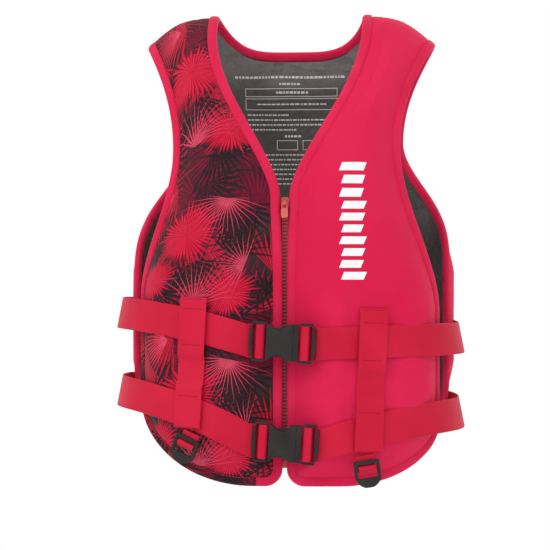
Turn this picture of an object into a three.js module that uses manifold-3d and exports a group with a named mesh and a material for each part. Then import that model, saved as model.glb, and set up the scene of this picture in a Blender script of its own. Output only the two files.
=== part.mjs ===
// Zip-front buoyancy vest with two webbing belts, side-release buckles and strap adjusters.
// Millimetres, +Z up, the wearer faces -Y. The origin is under the middle of the torso, at the hem.
import * as THREE from 'three';
import * as BufferGeometryUtils from 'three/addons/utils/BufferGeometryUtils.js';
import Module from 'manifold-3d';

const wasm = await Module();
wasm.setup();

// ---------------------------------------------------------------- driving dimensions
const seamGap = 0.3;

// torso form, measured on the inside of the lining
const torsoHalfWidth = 181;
const frontDepth = 112;
const backDepth = 114;
const torsoSquareness = 2.5;
const frontCurl = 1.6;
const backCurl = 2.2;

// shoulders and neck
const neckHalfWidth = 85;
const tipHalfWidth = 168;
const neckHeight = 539;
const chestHeight = neckHeight * 0.612;
const shoulderDrop = 34;
const shoulderBend = 1.9;
const backNeckDrop = 31;
const backNeckSquareness = 4.3;
const veeReach = 0.95;
const veePower = 1.45;

// front panels: printed is the wearer's right, plain is the wearer's left
const zipGapTop = 5.5;
const zipGapBelow = 2.6;
const zipGapChange = 90;
const innerCornerRadius = 20;
const armholeHalfWidth = 128;
const printedSide = {
  sign: -1,
  edge: torsoHalfWidth - 15,
  sideTop: chestHeight - 118,
  armhole: chestHeight + 46,
  corner: { width: 128, height: 97 },
};
const plainSide = {
  sign: 1,
  edge: torsoHalfWidth - 11,
  sideTop: chestHeight - 135,
  armhole: chestHeight + 52,
  corner: { width: 106, height: 68 },
};

// back panel
const backArmholeHalfWidth = 131;
const backArmholeHeight = chestHeight + 70;
const wingTop = chestHeight - 85;
const wingCornerHeight = 128;
const wingCornerAngle = 0.95;
const wingCornerPower = 1.35;
const wingCurvature = 0.62;

// layers
const shellThickness = 3;
const liningThickness = 2;
const edgeThickness = 6;
const frontThickness = 24;
const backThickness = 18;
const shoulderThickness = 9;
const taperWidth = 45;
const shoulderTaper = 120;
const layerGap = 0.4;
const foamFold = { below: 0.86, above: 0.88 };
const rowCrowding = 1.35;
const bindingWidth = 10;
const bindingWrap = 0.7;
const bindingSeam = 1;

// zip
const zipHeight = chestHeight - 8;
const toothPitch = 4;
const toothReach = 2.4;
const toothCordWidth = 1;
const chainThickness = 2.6;
const chainDepth = -4.8;
const tapeWidth = 13;
const tapeThickness = 0.8;
const tapeStepAt = 7.6;
const sliderHalfWidth = 4.7;
const sliderLength = 13;
const sliderPlate = 1.4;
const sliderPlay = 0.35;
const lugHalfWidth = 1.5;
const lugPost = 1.2;
const lugHole = 2.4;
const pullReach = 8.2;
const pullThickness = 1.4;
const pullLength = 17;
const pullHalfWidth = 3.9;
const pullWindow = 6;
const boxHeight = 9;

// webbing
const webbingWidth = 38;
const webbingThickness = 1.6;
const keeperWidth = 33;
const beltStandOff = 2.4;
const beltHalfWidth = torsoHalfWidth + frontThickness * 0.84;
const beltSquareness = 2.5;
const beltFlare = 0.2;
const beltRise = 1.7;
const keeperMargin = 10;
const printedKeeper = { top: [94, 213], bottom: [101, 66] };
const plainKeeper = { top: [94, 201], bottom: [88, 40] };
const backKeeper = { top: [62, 218], bottom: [62, 52] };
const beltRunEnd = 77;
const upperBelt = {
  name: 'upper',
  buckle: { x: -1, z: 163, tilt: 0.05 },
  side: { printed: 194, plain: 165 },
  back: 182,
};
const lowerBelt = {
  name: 'lower',
  buckle: { x: 2, z: 51, tilt: 0.06 },
  side: { printed: 103, plain: 78 },
  back: 88,
};

// side-release buckle, drawn about its own centre: length along X, height along Z, depth along Y
const buckleHalfLength = 37.5;
const buckleHalfHeight = webbingWidth / 2 + 3.5;
const buckleBow = 4;
const buckleThickness = 12;
const frameThickness = 6;
const slotHalfHeight = webbingWidth / 2 + 0.8;
const outerSlot = [27, 33.2];
const innerSlot = [18, 22];
const barThickness = 4;
const mouthAt = 12;
const shellEnd = 18;
const mouthHalfHeight = webbingWidth / 2 + 1.5;
const waistHalfHeight = webbingWidth / 2 - 6;
const cavityHalfHeight = webbingWidth / 2 - 1.8;
const cavityHalfDepth = 4;
const cavityEnd = -13;
const prongHalfDepth = 3.4;
const prongTip = -11.4;
const guideHalfHeight = 3;
const guideHalfDepth = 2.2;
const prongPlay = 0.4;
const loopTailDepth = 5;

// strap adjusters under the belt keepers
const adjusterHalfWidth = 14.5;
const adjusterThickness = 4;
const adjusterTop = 12;
const adjusterWindow = { halfWidth: 11.2, top: 7.6, bottom: -7.6 };
const adjusterBar = { radius: 1.8, height: 2.6 };
const adjusterTab = 18.5;
const adjusterWebbing = { width: 20, thickness: 1.2, play: 0.6 };
const adjusterHang = 17;
const adjusterDrop = 1.5;
const adjusterStandOff = beltStandOff + webbingThickness + 1;
const printedAdjuster = { x: -94, tilt: 0.42 };
const plainAdjuster = { x: 84, tilt: -0.14 };

// ---------------------------------------------------------------- materials
const finish = (color, roughness) => new THREE.MeshStandardMaterial({ color, roughness });
const printedFabric = finish(0x8a2a3c, 0.85);
const plainFabric = finish(0xdc2b50, 0.8);
const liningFabric = finish(0x4f4d4b, 0.9);
const bindingFabric = finish(0xe8305a, 0.8);
const foamMaterial = finish(0xe9e6de, 0.95);
const webbingMaterial = finish(0xd81f40, 0.75);
const buckleMaterial = finish(0x2f302d, 0.5);
const zipMaterial = finish(0xc9484c, 0.45);
const tapeMaterial = finish(0x7d1226, 0.85);

// ---------------------------------------------------------------- solids from grids of points
const vest = new THREE.Group();

function add(name, geometry, material, parent = vest) {
  const mesh = new THREE.Mesh(geometry, material);
  mesh.name = name;
  parent.add(mesh);
  return mesh;
}

function signedVolume(points, faces) {
  const cross = new THREE.Vector3();
  let volume = 0;
  for (const [a, b, c] of faces) {
    volume += points[a].dot(cross.crossVectors(points[b], points[c])) / 6;
  }
  return volume;
}

function closedGeometry(points, faces) {
  const outward = signedVolume(points, faces) > 0;
  const order = outward ? faces : faces.map(([a, b, c]) => [a, c, b]);
  const geometry = new THREE.BufferGeometry();
  const positions = points.flatMap((point) => point.toArray());
  geometry.setAttribute('position', new THREE.Float32BufferAttribute(positions, 3));
  geometry.setIndex(order.flat());
  geometry.computeVertexNormals();
  return geometry;
}

// A closed solid between two sheets of points: layer 0 of place(column, row, layer) is inside, 1 is outside.
function slab(columns, rows, place) {
  const wide = columns.length;
  const high = rows.length;
  const points = [];
  for (const layer of [0, 1]) {
    for (const row of rows) {
      for (const column of columns) points.push(place(column, row, layer));
    }
  }
  const at = (column, row, layer) => (layer * high + row) * wide + column;
  const faces = [];
  const quad = (a, b, c, d) => faces.push([a, b, c], [a, c, d]);
  for (let r = 0; r < high - 1; r += 1) {
    for (let c = 0; c < wide - 1; c += 1) {
      quad(at(c, r, 1), at(c + 1, r, 1), at(c + 1, r + 1, 1), at(c, r + 1, 1));
      quad(at(c, r, 0), at(c, r + 1, 0), at(c + 1, r + 1, 0), at(c + 1, r, 0));
    }
  }
  for (let c = 0; c < wide - 1; c += 1) {
    quad(at(c, 0, 0), at(c + 1, 0, 0), at(c + 1, 0, 1), at(c, 0, 1));
    quad(at(c + 1, high - 1, 0), at(c, high - 1, 0), at(c, high - 1, 1), at(c + 1, high - 1, 1));
  }
  for (let r = 0; r < high - 1; r += 1) {
    quad(at(0, r + 1, 0), at(0, r, 0), at(0, r, 1), at(0, r + 1, 1));
    quad(at(wide - 1, r, 0), at(wide - 1, r + 1, 0), at(wide - 1, r + 1, 1), at(wide - 1, r, 1));
  }
  return closedGeometry(points, faces);
}

// A flat strap through stations that each give a centre, a width direction and an outward direction.
function strap(stations, width, thickness) {
  const place = (column, row, layer) => {
    const point = row.centre.clone();
    point.addScaledVector(row.across, (column - 0.5) * width);
    return point.addScaledVector(row.outward, (layer - 0.5) * thickness);
  };
  return slab([0, 1], stations, place);
}

const steps = (count) => Array.from({ length: count + 1 }, (_, index) => index / count);
const clamp = THREE.MathUtils.clamp;
const lerp = THREE.MathUtils.lerp;
const smooth = (t) => THREE.MathUtils.smoothstep(t, 0, 1);

// ---------------------------------------------------------------- solids cut from plates
function toManifold(geometry) {
  const bare = geometry.clone();
  bare.deleteAttribute('normal');
  bare.deleteAttribute('uv');
  const merged = BufferGeometryUtils.mergeVertices(bare, 1e-4);
  const vertProperties = new Float32Array(merged.attributes.position.array);
  const triVerts = new Uint32Array(merged.index.array);
  return new wasm.Manifold(new wasm.Mesh({ numProp: 3, vertProperties, triVerts }));
}

function fromManifold(solid) {
  const mesh = solid.getMesh();
  const geometry = new THREE.BufferGeometry();
  geometry.setAttribute('position', new THREE.Float32BufferAttribute(mesh.vertProperties, 3));
  geometry.setIndex(Array.from(mesh.triVerts));
  geometry.computeVertexNormals();
  return geometry;
}

// A plate with its outline in X and Z, from y = near to y = far.
function plate(shape, near, far) {
  const options = { depth: far - near, bevelEnabled: false, curveSegments: 8 };
  const geometry = new THREE.ExtrudeGeometry(shape, options);
  geometry.rotateX(Math.PI / 2);
  geometry.translate(0, far, 0);
  return geometry;
}

function block(low, high) {
  const geometry = new THREE.BoxGeometry(high[0] - low[0], high[1] - low[1], high[2] - low[2]);
  geometry.translate((low[0] + high[0]) / 2, (low[1] + high[1]) / 2, (low[2] + high[2]) / 2);
  return geometry;
}

const outline = (points) => new THREE.Shape(points.map(([x, y]) => new THREE.Vector2(x, y)));

// ---------------------------------------------------------------- the torso form
const front = { sign: -1, depth: frontDepth, curl: frontCurl };
const back = { sign: 1, depth: backDepth, curl: backCurl };

const falloff = (t, power) => (1 - t ** power) ** (1 / power);

function shoulderHeight(x) {
  const outward = clamp((Math.abs(x) - neckHalfWidth) / (tipHalfWidth - neckHalfWidth), 0, 1);
  return neckHeight - shoulderDrop * outward ** shoulderBend;
}

function torsoReach(face, x, z) {
  const rise = clamp((z - chestHeight) / (shoulderHeight(x) - chestHeight), 0, 1);
  return face.depth * falloff(rise, face.curl);
}

function torsoPoint(face, x, z) {
  const sideways = clamp(Math.abs(x) / torsoHalfWidth, 0, 1);
  const reach = torsoReach(face, x, z) * falloff(sideways, torsoSquareness);
  return new THREE.Vector3(x, face.sign * reach, z);
}

// The outward direction of the torso form, from the slope of its implicit equation.
function torsoNormal(face, x, z) {
  const limit = 0.9995;
  const nudge = 0.01;
  const high = Math.min(z, shoulderHeight(x) - 3 * nudge);
  const wide = Math.sign(x) * Math.min(Math.abs(x), torsoHalfWidth * limit);
  const y = torsoPoint(face, wide, high).y;
  const level = (px, py, pz) => (Math.abs(px) / torsoHalfWidth) ** torsoSquareness
    + (Math.abs(py) / torsoReach(face, px, pz)) ** torsoSquareness;
  return new THREE.Vector3(
    level(wide + nudge, y, high) - level(wide - nudge, y, high),
    level(wide, y + nudge, high) - level(wide, y - nudge, high),
    level(wide, y, high + nudge) - level(wide, y, high - nudge),
  ).normalize();
}

// ---------------------------------------------------------------- panel outlines
function frontInnerEdge(z) {
  if (z > chestHeight) {
    const climb = clamp((z - chestHeight) / (neckHeight - chestHeight) / veeReach, 0, 1);
    return zipGapTop + (neckHalfWidth - zipGapTop) * Math.sin(climb * Math.PI / 2) ** veePower;
  }
  const opening = lerp(zipGapBelow, zipGapTop, smooth(1 - (chestHeight - z) / zipGapChange));
  const low = clamp((innerCornerRadius - z) / innerCornerRadius, 0, 1);
  return opening + innerCornerRadius * (1 - falloff(low, 2));
}

function frontOuterEdge(side, z) {
  if (z > side.armhole) {
    const climb = clamp((z - side.armhole) / (neckHeight - shoulderDrop - side.armhole), 0, 1);
    return lerp(armholeHalfWidth, tipHalfWidth, climb * climb);
  }
  const low = clamp((side.corner.height - z) / side.corner.height, 0, 1);
  const narrowing = smooth((z - side.sideTop) / (side.armhole - side.sideTop));
  return lerp(side.edge, armholeHalfWidth, narrowing) - side.corner.width * (1 - falloff(low, 2));
}

const sidewaysAngle = (x) => Math.asin((x / torsoHalfWidth) ** (torsoSquareness / 2));
const sidewaysPlace = (angle) => torsoHalfWidth * Math.sin(angle) ** (2 / torsoSquareness);

function backEdgeAngle(z) {
  if (z > backArmholeHeight) {
    const climb = clamp((z - backArmholeHeight) / (neckHeight - shoulderDrop - backArmholeHeight), 0, 1);
    return sidewaysAngle(lerp(backArmholeHalfWidth, tipHalfWidth, climb * climb));
  }
  const low = clamp((wingCornerHeight - z) / wingCornerHeight, 0, 1);
  const narrow = sidewaysAngle(backArmholeHalfWidth);
  const wide = lerp(Math.PI / 2, narrow, smooth((z - wingTop) / (backArmholeHeight - wingTop)));
  return wide - wingCornerAngle * (1 - falloff(low, wingCornerPower));
}

// Heights of the rows: closer together at the hem, evenly turned over the shoulder.
const lowSteps = [...steps(9).slice(0, 8), foamFold.below, foamFold.above, 1];
const lowRows = lowSteps.map((step) => ({ part: 'low', step }));
const highRows = steps(8).slice(1).map((step) => ({ part: 'high', step }));
const panelRows = [...lowRows, ...highRows];

function rowHeight(row, foot, top, curl) {
  if (row.part === 'low') {
    return lerp(foot, chestHeight, row.step ** rowCrowding);
  }
  return chestHeight + (top - chestHeight) * Math.sin(row.step * Math.PI / 2) ** (2 / curl);
}

// Thickness builds up from the bound edges to the middle of a panel and stays low over the shoulder.
function thicknessAt(full, fromEdges, fromHem, fromShoulder) {
  const swell = (distance, reach) => Math.sin(clamp(distance / reach, 0, 1) * Math.PI / 2);
  const middle = lerp(shoulderThickness, full, smooth(fromShoulder / shoulderTaper));
  const rise = swell(fromEdges, taperWidth) * swell(fromHem, taperWidth);
  return edgeThickness + (middle - edgeThickness) * rise;
}

const bound = bindingWidth + bindingSeam;

// ---------------------------------------------------------------- front panels
function frontPlace(side, row, inset, foot, depth) {
  const shoulderAt = neckHalfWidth + inset(bound, tipHalfWidth - neckHalfWidth - 2 * bound);
  const z = rowHeight(row, foot, shoulderHeight(shoulderAt), frontCurl);
  const inner = frontInnerEdge(z);
  const outer = frontOuterEdge(side, z);
  const clear = outer - inner - 2 * bound;
  const x = inner + inset(bound, clear);
  const point = torsoPoint(front, side.sign * x, z);
  const fromEdges = Math.min(x - inner, outer - x) - bindingWidth;
  const fromShoulder = shoulderHeight(shoulderAt) - z;
  const thickness = thicknessAt(frontThickness, fromEdges, z - bindingWidth, fromShoulder);
  point.y -= seamGap / 2;
  return point.addScaledVector(torsoNormal(front, side.sign * x, z), depth(thickness));
}

const acrossPanel = (share) => (edge, clear) => edge + share * clear;
const innerStrip = (share) => () => share * bindingWidth;
const outerStrip = (share) => (edge, clear) => 2 * edge + clear - (1 - share) * bindingWidth;

const frontColumns = [0, 0.09, 0.22, 0.4, 0.58, 0.76, 0.9, 1];

const shellLayer = (layer) => (thickness) => thickness - (1 - layer) * shellThickness;
const liningLayer = (layer) => () => layer * liningThickness;
const bindingLayer = (layer) => () => lerp(-bindingWrap, edgeThickness + bindingWrap, layer);
const foamLayer = (layer) => (thickness) => (layer
  ? thickness - shellThickness - layerGap
  : liningThickness + layerGap);

function frontPiece(side, columns, rows, inset, layers) {
  const place = (column, row, layer) => frontPlace(side, row, inset(column), bound, layers(layer));
  return slab(columns, rows, place);
}

function addFrontPanel(side, name, fabric) {
  const foamColumns = frontColumns.slice(1, -1);
  const foamRows = panelRows.slice(2, -2);
  const piece = (columns, rows, inset, layers) => frontPiece(side, columns, rows, inset, layers);
  add(`${name}_shell`, piece(frontColumns, panelRows, acrossPanel, shellLayer), fabric);
  add(`${name}_lining`, piece(frontColumns, panelRows, acrossPanel, liningLayer), liningFabric);
  add(`${name}_foam`, piece(foamColumns, foamRows, acrossPanel, foamLayer), foamMaterial);
  add(`${name}_edge_binding`, piece([0, 1], panelRows, innerStrip, bindingLayer), bindingFabric);
  add(`${name}_side_binding`, piece([0, 1], panelRows, outerStrip, bindingLayer), bindingFabric);
  const hemRows = steps(4).map((step) => ({ part: 'hem', step }));
  const hemPlace = (column, row, layer) => {
    const z = bindingWidth * (1 - Math.cos(row.step * Math.PI / 2));
    const inner = frontInnerEdge(z);
    const x = lerp(inner, frontOuterEdge(side, z), column);
    const point = torsoPoint(front, side.sign * x, z);
    point.y -= seamGap / 2;
    return point.addScaledVector(torsoNormal(front, side.sign * x, z), bindingLayer(layer)());
  };
  add(`${name}_hem_binding`, slab(steps(6), hemRows, hemPlace), bindingFabric);
}

addFrontPanel(printedSide, 'printed_front', printedFabric);
addFrontPanel(plainSide, 'plain_front', plainFabric);

// ---------------------------------------------------------------- back panel
// Columns run from -1 to 1. The column at the neck corner parts the shoulder line from the neckline.
// An inset is taken off the panel's reach, as an angle on the torso form.
const edgeAngle = (width) => width / (torsoHalfWidth * wingCurvature);
const shoulderReach = (inset) => sidewaysAngle(tipHalfWidth) - edgeAngle(inset);
const neckColumn = sidewaysAngle(neckHalfWidth) / shoulderReach(bound);
const cornerColumn = sidewaysAngle(neckHalfWidth + bound) / shoulderReach(bound);
const neckline = (x) => neckHeight - backNeckDrop * (1 - (x / neckHalfWidth) ** backNeckSquareness);

function backHeight(topX, row, foot, drop) {
  const peak = shoulderHeight(topX);
  if (row.part === 'low') return rowHeight(row, foot, peak, backCurl);
  const top = (topX < neckHalfWidth ? neckline(topX) : peak) - drop;
  const full = Math.asin(clamp((top - chestHeight) / (peak - chestHeight), 0, 1) ** (backCurl / 2));
  return chestHeight + (peak - chestHeight) * Math.sin(row.step * full) ** (2 / backCurl);
}

function onBack(x, z, depth) {
  const point = torsoPoint(back, x, z);
  point.y += seamGap / 2;
  return point.addScaledVector(torsoNormal(back, x, z), depth);
}

function backPlace(column, row, drop, layers) {
  const share = Math.abs(column);
  const topX = sidewaysPlace(share * shoulderReach(bound));
  const z = backHeight(topX, row, bound, drop);
  const reach = backEdgeAngle(z) - edgeAngle(bound);
  const x = Math.sign(column) * sidewaysPlace(share * reach);
  const fromEdge = (1 - share) * reach * torsoHalfWidth * wingCurvature;
  const fromTop = topX < neckHalfWidth ? neckline(topX) - z - bindingWidth : taperWidth;
  const thickness = thicknessAt(backThickness, Math.min(fromEdge, fromTop), z - bindingWidth,
    shoulderHeight(x) - z);
  return onBack(x, z, layers(thickness));
}

const neckShares = [0, 0.35, 0.62, 0.82, 0.94];
const halfColumns = [...neckShares.map((share) => share * neckColumn),
  ...steps(5).map((share) => lerp(cornerColumn, 1, share))];
const backColumns = [...halfColumns.slice(1).reverse().map((column) => -column), ...halfColumns];

function backPiece(columns, rows, layers) {
  const place = (column, row, layer) => {
    const drop = Math.abs(column) < neckColumn ? bound : 0;
    return backPlace(column, row, drop, layers(layer));
  };
  return slab(columns, rows, place);
}

const foamColumns = backColumns.slice(1, -1);
const lowerFoamRows = lowRows.slice(2, -2);
const upperFoamRows = [...lowRows.slice(-2), ...highRows.slice(0, -2)];
add('back_shell', backPiece(backColumns, panelRows, shellLayer), plainFabric);
add('back_lining', backPiece(backColumns, panelRows, liningLayer), liningFabric);
add('back_foam_lower', backPiece(foamColumns, lowerFoamRows, foamLayer), foamMaterial);
add('back_foam_upper', backPiece(foamColumns, upperFoamRows, foamLayer), foamMaterial);

function addWingBinding(name, sign) {
  const place = (column, row, layer) => {
    const inset = (1 - column) * bindingWidth;
    const z = backHeight(sidewaysPlace(shoulderReach(inset)), row, bound, 0);
    const x = sidewaysPlace(backEdgeAngle(z) - edgeAngle(inset));
    return onBack(sign * x, z, bindingLayer(layer)());
  };
  add(name, slab([0, 1], panelRows, place), bindingFabric);
}

addWingBinding('back_side_binding_printed', printedSide.sign);
addWingBinding('back_side_binding_plain', plainSide.sign);

function addBackNeckBinding() {
  const necked = backColumns.filter((column) => Math.abs(column) < neckColumn);
  const columns = [-1, ...necked, 1];
  const last = highRows[highRows.length - 1];
  const place = (column, share, layer) => {
    if (Math.abs(column) === 1) {
      const corner = neckHalfWidth + (1 - share) * bindingWidth;
      return onBack(column * corner, shoulderHeight(corner), bindingLayer(layer)());
    }
    const topX = sidewaysPlace(Math.abs(column) * shoulderReach(bound));
    const z = backHeight(topX, last, bound, (1 - share) * bindingWidth);
    const reach = backEdgeAngle(z) - edgeAngle(bound);
    return onBack(Math.sign(column) * sidewaysPlace(Math.abs(column) * reach), z, bindingLayer(layer)());
  };
  add('back_neck_binding', slab(columns, [0, 1], place), bindingFabric);
}

addBackNeckBinding();

function addBackHemBinding() {
  const place = (column, step, layer) => {
    const z = bindingWidth * (1 - Math.cos(step * Math.PI / 2));
    const x = Math.sign(column) * sidewaysPlace(Math.abs(column) * backEdgeAngle(z));
    return onBack(x, z, bindingLayer(layer)());
  };
  add('back_hem_binding', slab(steps(16).map((step) => 2 * step - 1), steps(4), place), bindingFabric);
}

addBackHemBinding();

// ---------------------------------------------------------------- zip
const zipFace = -frontDepth - seamGap / 2;
const zipY = (depth) => zipFace - depth;
const chainFront = chainDepth + chainThickness / 2;
const chainBack = chainDepth - chainThickness / 2;

// The tape is thin beside the teeth and stands up to the panel's edge where it is sewn on.
function addTape(name, sign) {
  const inner = toothReach + toothCordWidth + seamGap;
  const back0 = zipY(chainDepth - tapeThickness / 2);
  const thin = zipY(chainDepth + tapeThickness / 2);
  const sewn = zipY(-bindingWrap - seamGap);
  const section = outline([
    [sign * inner, back0],
    [sign * (inner + tapeWidth), back0],
    [sign * (inner + tapeWidth), sewn],
    [sign * tapeStepAt, sewn],
    [sign * tapeStepAt, thin],
    [sign * inner, thin],
  ]);
  const options = { depth: zipHeight - innerCornerRadius, bevelEnabled: false };
  const geometry = new THREE.ExtrudeGeometry(section, options);
  geometry.translate(0, 0, innerCornerRadius);
  add(name, geometry, tapeMaterial);
}

addTape('zip_tape_printed', printedSide.sign);
addTape('zip_tape_plain', plainSide.sign);

// One row of teeth on its cord: a comb, cut from a plate, whose teeth stand halfway between its mate's.
function addTeeth(name, sign, offset) {
  const foot = innerCornerRadius + boxHeight + seamGap;
  const count = Math.floor((zipHeight - foot - toothPitch) / toothPitch);
  const root = toothReach;
  const cord = toothReach + toothCordWidth;
  const neck = toothPitch * 0.16;
  const head = toothPitch * 0.2;
  const points = [[sign * cord, foot], [sign * root, foot]];
  for (let tooth = 0; tooth < count; tooth += 1) {
    const middle = foot + offset + (tooth + 0.5) * toothPitch;
    points.push([sign * root, middle - neck]);
    points.push([-sign * (toothReach - seamGap * 2), middle - head]);
    points.push([-sign * (toothReach - seamGap * 2), middle + head]);
    points.push([sign * root, middle + neck]);
  }
  const top = foot + (count + 1) * toothPitch;
  points.push([sign * root, top], [sign * cord, top]);
  const geometry = plate(outline(points), zipY(chainFront), zipY(chainBack));
  add(name, geometry, zipMaterial);
}

addTeeth('zip_teeth_printed', printedSide.sign, 0);
addTeeth('zip_teeth_plain', plainSide.sign, toothPitch / 2);

// The box holds the lower ends of both tapes together.
function addZipBox() {
  const half = toothReach + toothCordWidth;
  const low = [-half, zipY(chainFront + sliderPlate), innerCornerRadius];
  const high = [half, zipY(chainBack - sliderPlate), innerCornerRadius + boxHeight];
  add('zip_bottom_box', block(low, high), zipMaterial);
}

addZipBox();

// The slider: two plates joined by a wedge above the closed chain, with a lug for the pull.
const sliderTop = chestHeight - 4;
const pullHeight = sliderTop - sliderLength / 2;

function addSlider() {
  const frontNear = zipY(chainFront + sliderPlay + sliderPlate);
  const frontFar = zipY(chainFront + sliderPlay);
  const backNear = zipY(chainBack - sliderPlay);
  const backFar = zipY(chainBack - sliderPlay - sliderPlate);
  const chest = sliderHalfWidth;
  const waist = sliderHalfWidth * 0.82;
  const low = sliderTop - sliderLength;
  const face = outline([[-waist, low], [waist, low], [chest, low + 5], [chest, sliderTop - 1.5],
    [chest - 1.5, sliderTop], [1.5 - chest, sliderTop], [-chest, sliderTop - 1.5], [-chest, low + 5]]);
  const wedge = outline([[-1.5, sliderTop - 2.6], [1.5, sliderTop - 2.6], [2.6, sliderTop], [-2.6, sliderTop]]);
  const post = (z) => block([-lugHalfWidth, zipY(pullReach + 2.4), z - lugPost / 2],
    [lugHalfWidth, frontNear + 0.5, z + lugPost / 2]);
  const span = lugHole / 2 + lugPost / 2;
  const bridge = block([-lugHalfWidth, zipY(pullReach + 2.4), pullHeight - span - lugPost / 2],
    [lugHalfWidth, zipY(pullReach + 1.2), pullHeight + span + lugPost / 2]);
  const pieces = [plate(face, backNear, backFar), plate(wedge, frontFar - 0.5, backNear + 0.5),
    post(pullHeight - span), post(pullHeight + span), bridge];
  let solid = toManifold(plate(face, frontNear, frontFar));
  for (const piece of pieces) solid = solid.add(toManifold(piece));
  add('zip_slider', fromManifold(solid), zipMaterial);
}

addSlider();

// The pull hangs on its top bar inside the lug and swings about it.
function addPull() {
  const radius = pullThickness / 2;
  const window = lugHalfWidth + 0.7;
  const arm = window + 1.3;
  const near = zipY(pullReach + radius);
  const far = zipY(pullReach - radius);
  const shape = outline([[-arm, radius], [arm, radius], [arm, -pullWindow], [pullHalfWidth, -pullWindow - 2],
    [pullHalfWidth, 1.5 - pullLength], [pullHalfWidth - 1.5, -pullLength], [1.5 - pullHalfWidth, -pullLength],
    [-pullHalfWidth, 1.5 - pullLength], [-pullHalfWidth, -pullWindow - 2], [-arm, -pullWindow]]);
  const hole = block([-window, near - 1, -pullWindow], [window, far + 1, -radius]);
  const solid = toManifold(plate(shape, near, far)).subtract(toManifold(hole));
  add('zip_pull', fromManifold(solid.translate([0, 0, pullHeight])), zipMaterial);
}

addPull();

// ---------------------------------------------------------------- belts
const beltDepth = frontThickness + beltStandOff + webbingThickness / 2;
const beltStart = buckleHalfLength + 2.5;
const tieAt = (belt, sign) => beltStart + sign * belt.buckle.x;

// The belt's ring round the body: its angle is 0 at the front centre and a half turn at the back.
function beltRing(angle) {
  const face = angle < Math.PI / 2 ? front : back;
  const depth = face.depth + beltDepth;
  const bend = 2 / beltSquareness;
  const x = beltHalfWidth * Math.sin(angle) ** bend;
  const y = face.sign * depth * Math.abs(Math.cos(angle)) ** bend;
  return { x, y };
}

const ringAngle = (x) => Math.asin((x / beltHalfWidth) ** (beltSquareness / 2));

function beltHeight(belt, sign, angle) {
  const key = sign < 0 ? 'printed' : 'plain';
  const tie = belt.buckle.z - sign * beltStart * Math.sin(belt.buckle.tilt);
  const side = belt.side[key];
  if (angle > Math.PI / 2) {
    return lerp(side, belt.back, smooth((angle - Math.PI / 2) / (Math.PI / 2)));
  }
  const start = tieAt(belt, sign);
  const along = clamp((beltRing(angle).x - start) / (beltHalfWidth - start), 0, 1);
  return lerp(tie, side, 1 - (1 - along) ** beltRise);
}

function beltCentre(belt, sign, angle) {
  const { x, y } = beltRing(angle);
  return new THREE.Vector3(sign * x, y, beltHeight(belt, sign, angle));
}

function beltStation(belt, sign, angle, level) {
  const nudge = 0.002;
  const centre = beltCentre(belt, sign, angle);
  const ahead = beltCentre(belt, sign, Math.min(angle + nudge, Math.PI));
  const behind = beltCentre(belt, sign, Math.max(angle - nudge, 0));
  const along = ahead.sub(behind).normalize();
  const outward = new THREE.Vector3(along.y, -along.x, 0).multiplyScalar(sign).normalize();
  const across = new THREE.Vector3().crossVectors(outward, along).normalize();
  if (across.z < 0) across.negate();
  const flare = beltFlare * Math.sin(angle) ** 4;
  across.addScaledVector(outward, -flare).normalize();
  const tilted = new THREE.Vector3(Math.sin(belt.buckle.tilt), 0, Math.cos(belt.buckle.tilt));
  across.lerp(tilted, level).normalize();
  outward.addScaledVector(across, -outward.dot(across)).normalize();
  return { centre, across, outward };
}

function addBelt(belt) {
  const end = ringAngle(beltRunEnd);
  const half = steps(20).map((step) => lerp(end, Math.PI, step));
  const printedRun = half.map((angle) => beltStation(belt, -1, angle, 0));
  const plainRun = half.slice(0, -1).reverse().map((angle) => beltStation(belt, 1, angle, 0));
  const run = strap([...printedRun, ...plainRun], webbingWidth, webbingThickness);
  add(`${belt.name}_belt_run`, run, webbingMaterial);
  for (const side of [printedSide, plainSide]) {
    const key = side.sign < 0 ? 'printed' : 'plain';
    const from = ringAngle(tieAt(belt, side.sign) + seamGap * 2);
    const to = ringAngle(beltRunEnd - seamGap * 2);
    const station = (step) => beltStation(belt, side.sign, lerp(from, to, step), 1 - smooth(step));
    const stretch = strap(steps(5).map(station), webbingWidth, webbingThickness);
    add(`${belt.name}_belt_stretch_${key}`, stretch, webbingMaterial);
  }
}

addBelt(upperBelt);
addBelt(lowerBelt);

// ---------------------------------------------------------------- straps that hold the belts to the panels
function panelDepth(full) {
  return full + webbingThickness / 2 + layerGap;
}

function overBelts(z, sign, angle, belts, clear) {
  let lift = 0;
  for (const belt of belts) {
    const off = Math.abs(z - beltHeight(belt, sign, angle)) - webbingWidth / 2 - keeperMargin;
    lift = Math.max(lift, clear * (1 - smooth(off / 12)));
  }
  return lift;
}

function addKeeper(name, face, sign, keeper) {
  const clear = beltStandOff + webbingThickness + seamGap;
  const [topX, topZ] = keeper.top;
  const [bottomX, bottomZ] = keeper.bottom;
  const stations = steps(18).map((step) => {
    const z = lerp(bottomZ, topZ, step);
    const x = lerp(bottomX, topX, step);
    const frontAngle = ringAngle(x);
    const angle = face === front ? frontAngle : Math.PI - frontAngle;
    const depth = panelDepth(frontThickness) + overBelts(z, sign, angle, [upperBelt, lowerBelt], clear);
    const outward = torsoNormal(face, sign * x, z);
    const centre = torsoPoint(face, sign * x, z).addScaledVector(outward, depth);
    const along = new THREE.Vector3(sign * (topX - bottomX), 0, topZ - bottomZ).normalize();
    const across = new THREE.Vector3().crossVectors(along, outward).normalize();
    return { centre, across, outward };
  });
  add(name, strap(stations, keeperWidth, webbingThickness), webbingMaterial);
}

addKeeper('belt_keeper_printed', front, -1, printedKeeper);
addKeeper('belt_keeper_plain', front, 1, plainKeeper);
addKeeper('back_keeper_printed', back, -1, backKeeper);
addKeeper('back_keeper_plain', back, 1, backKeeper);

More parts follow.
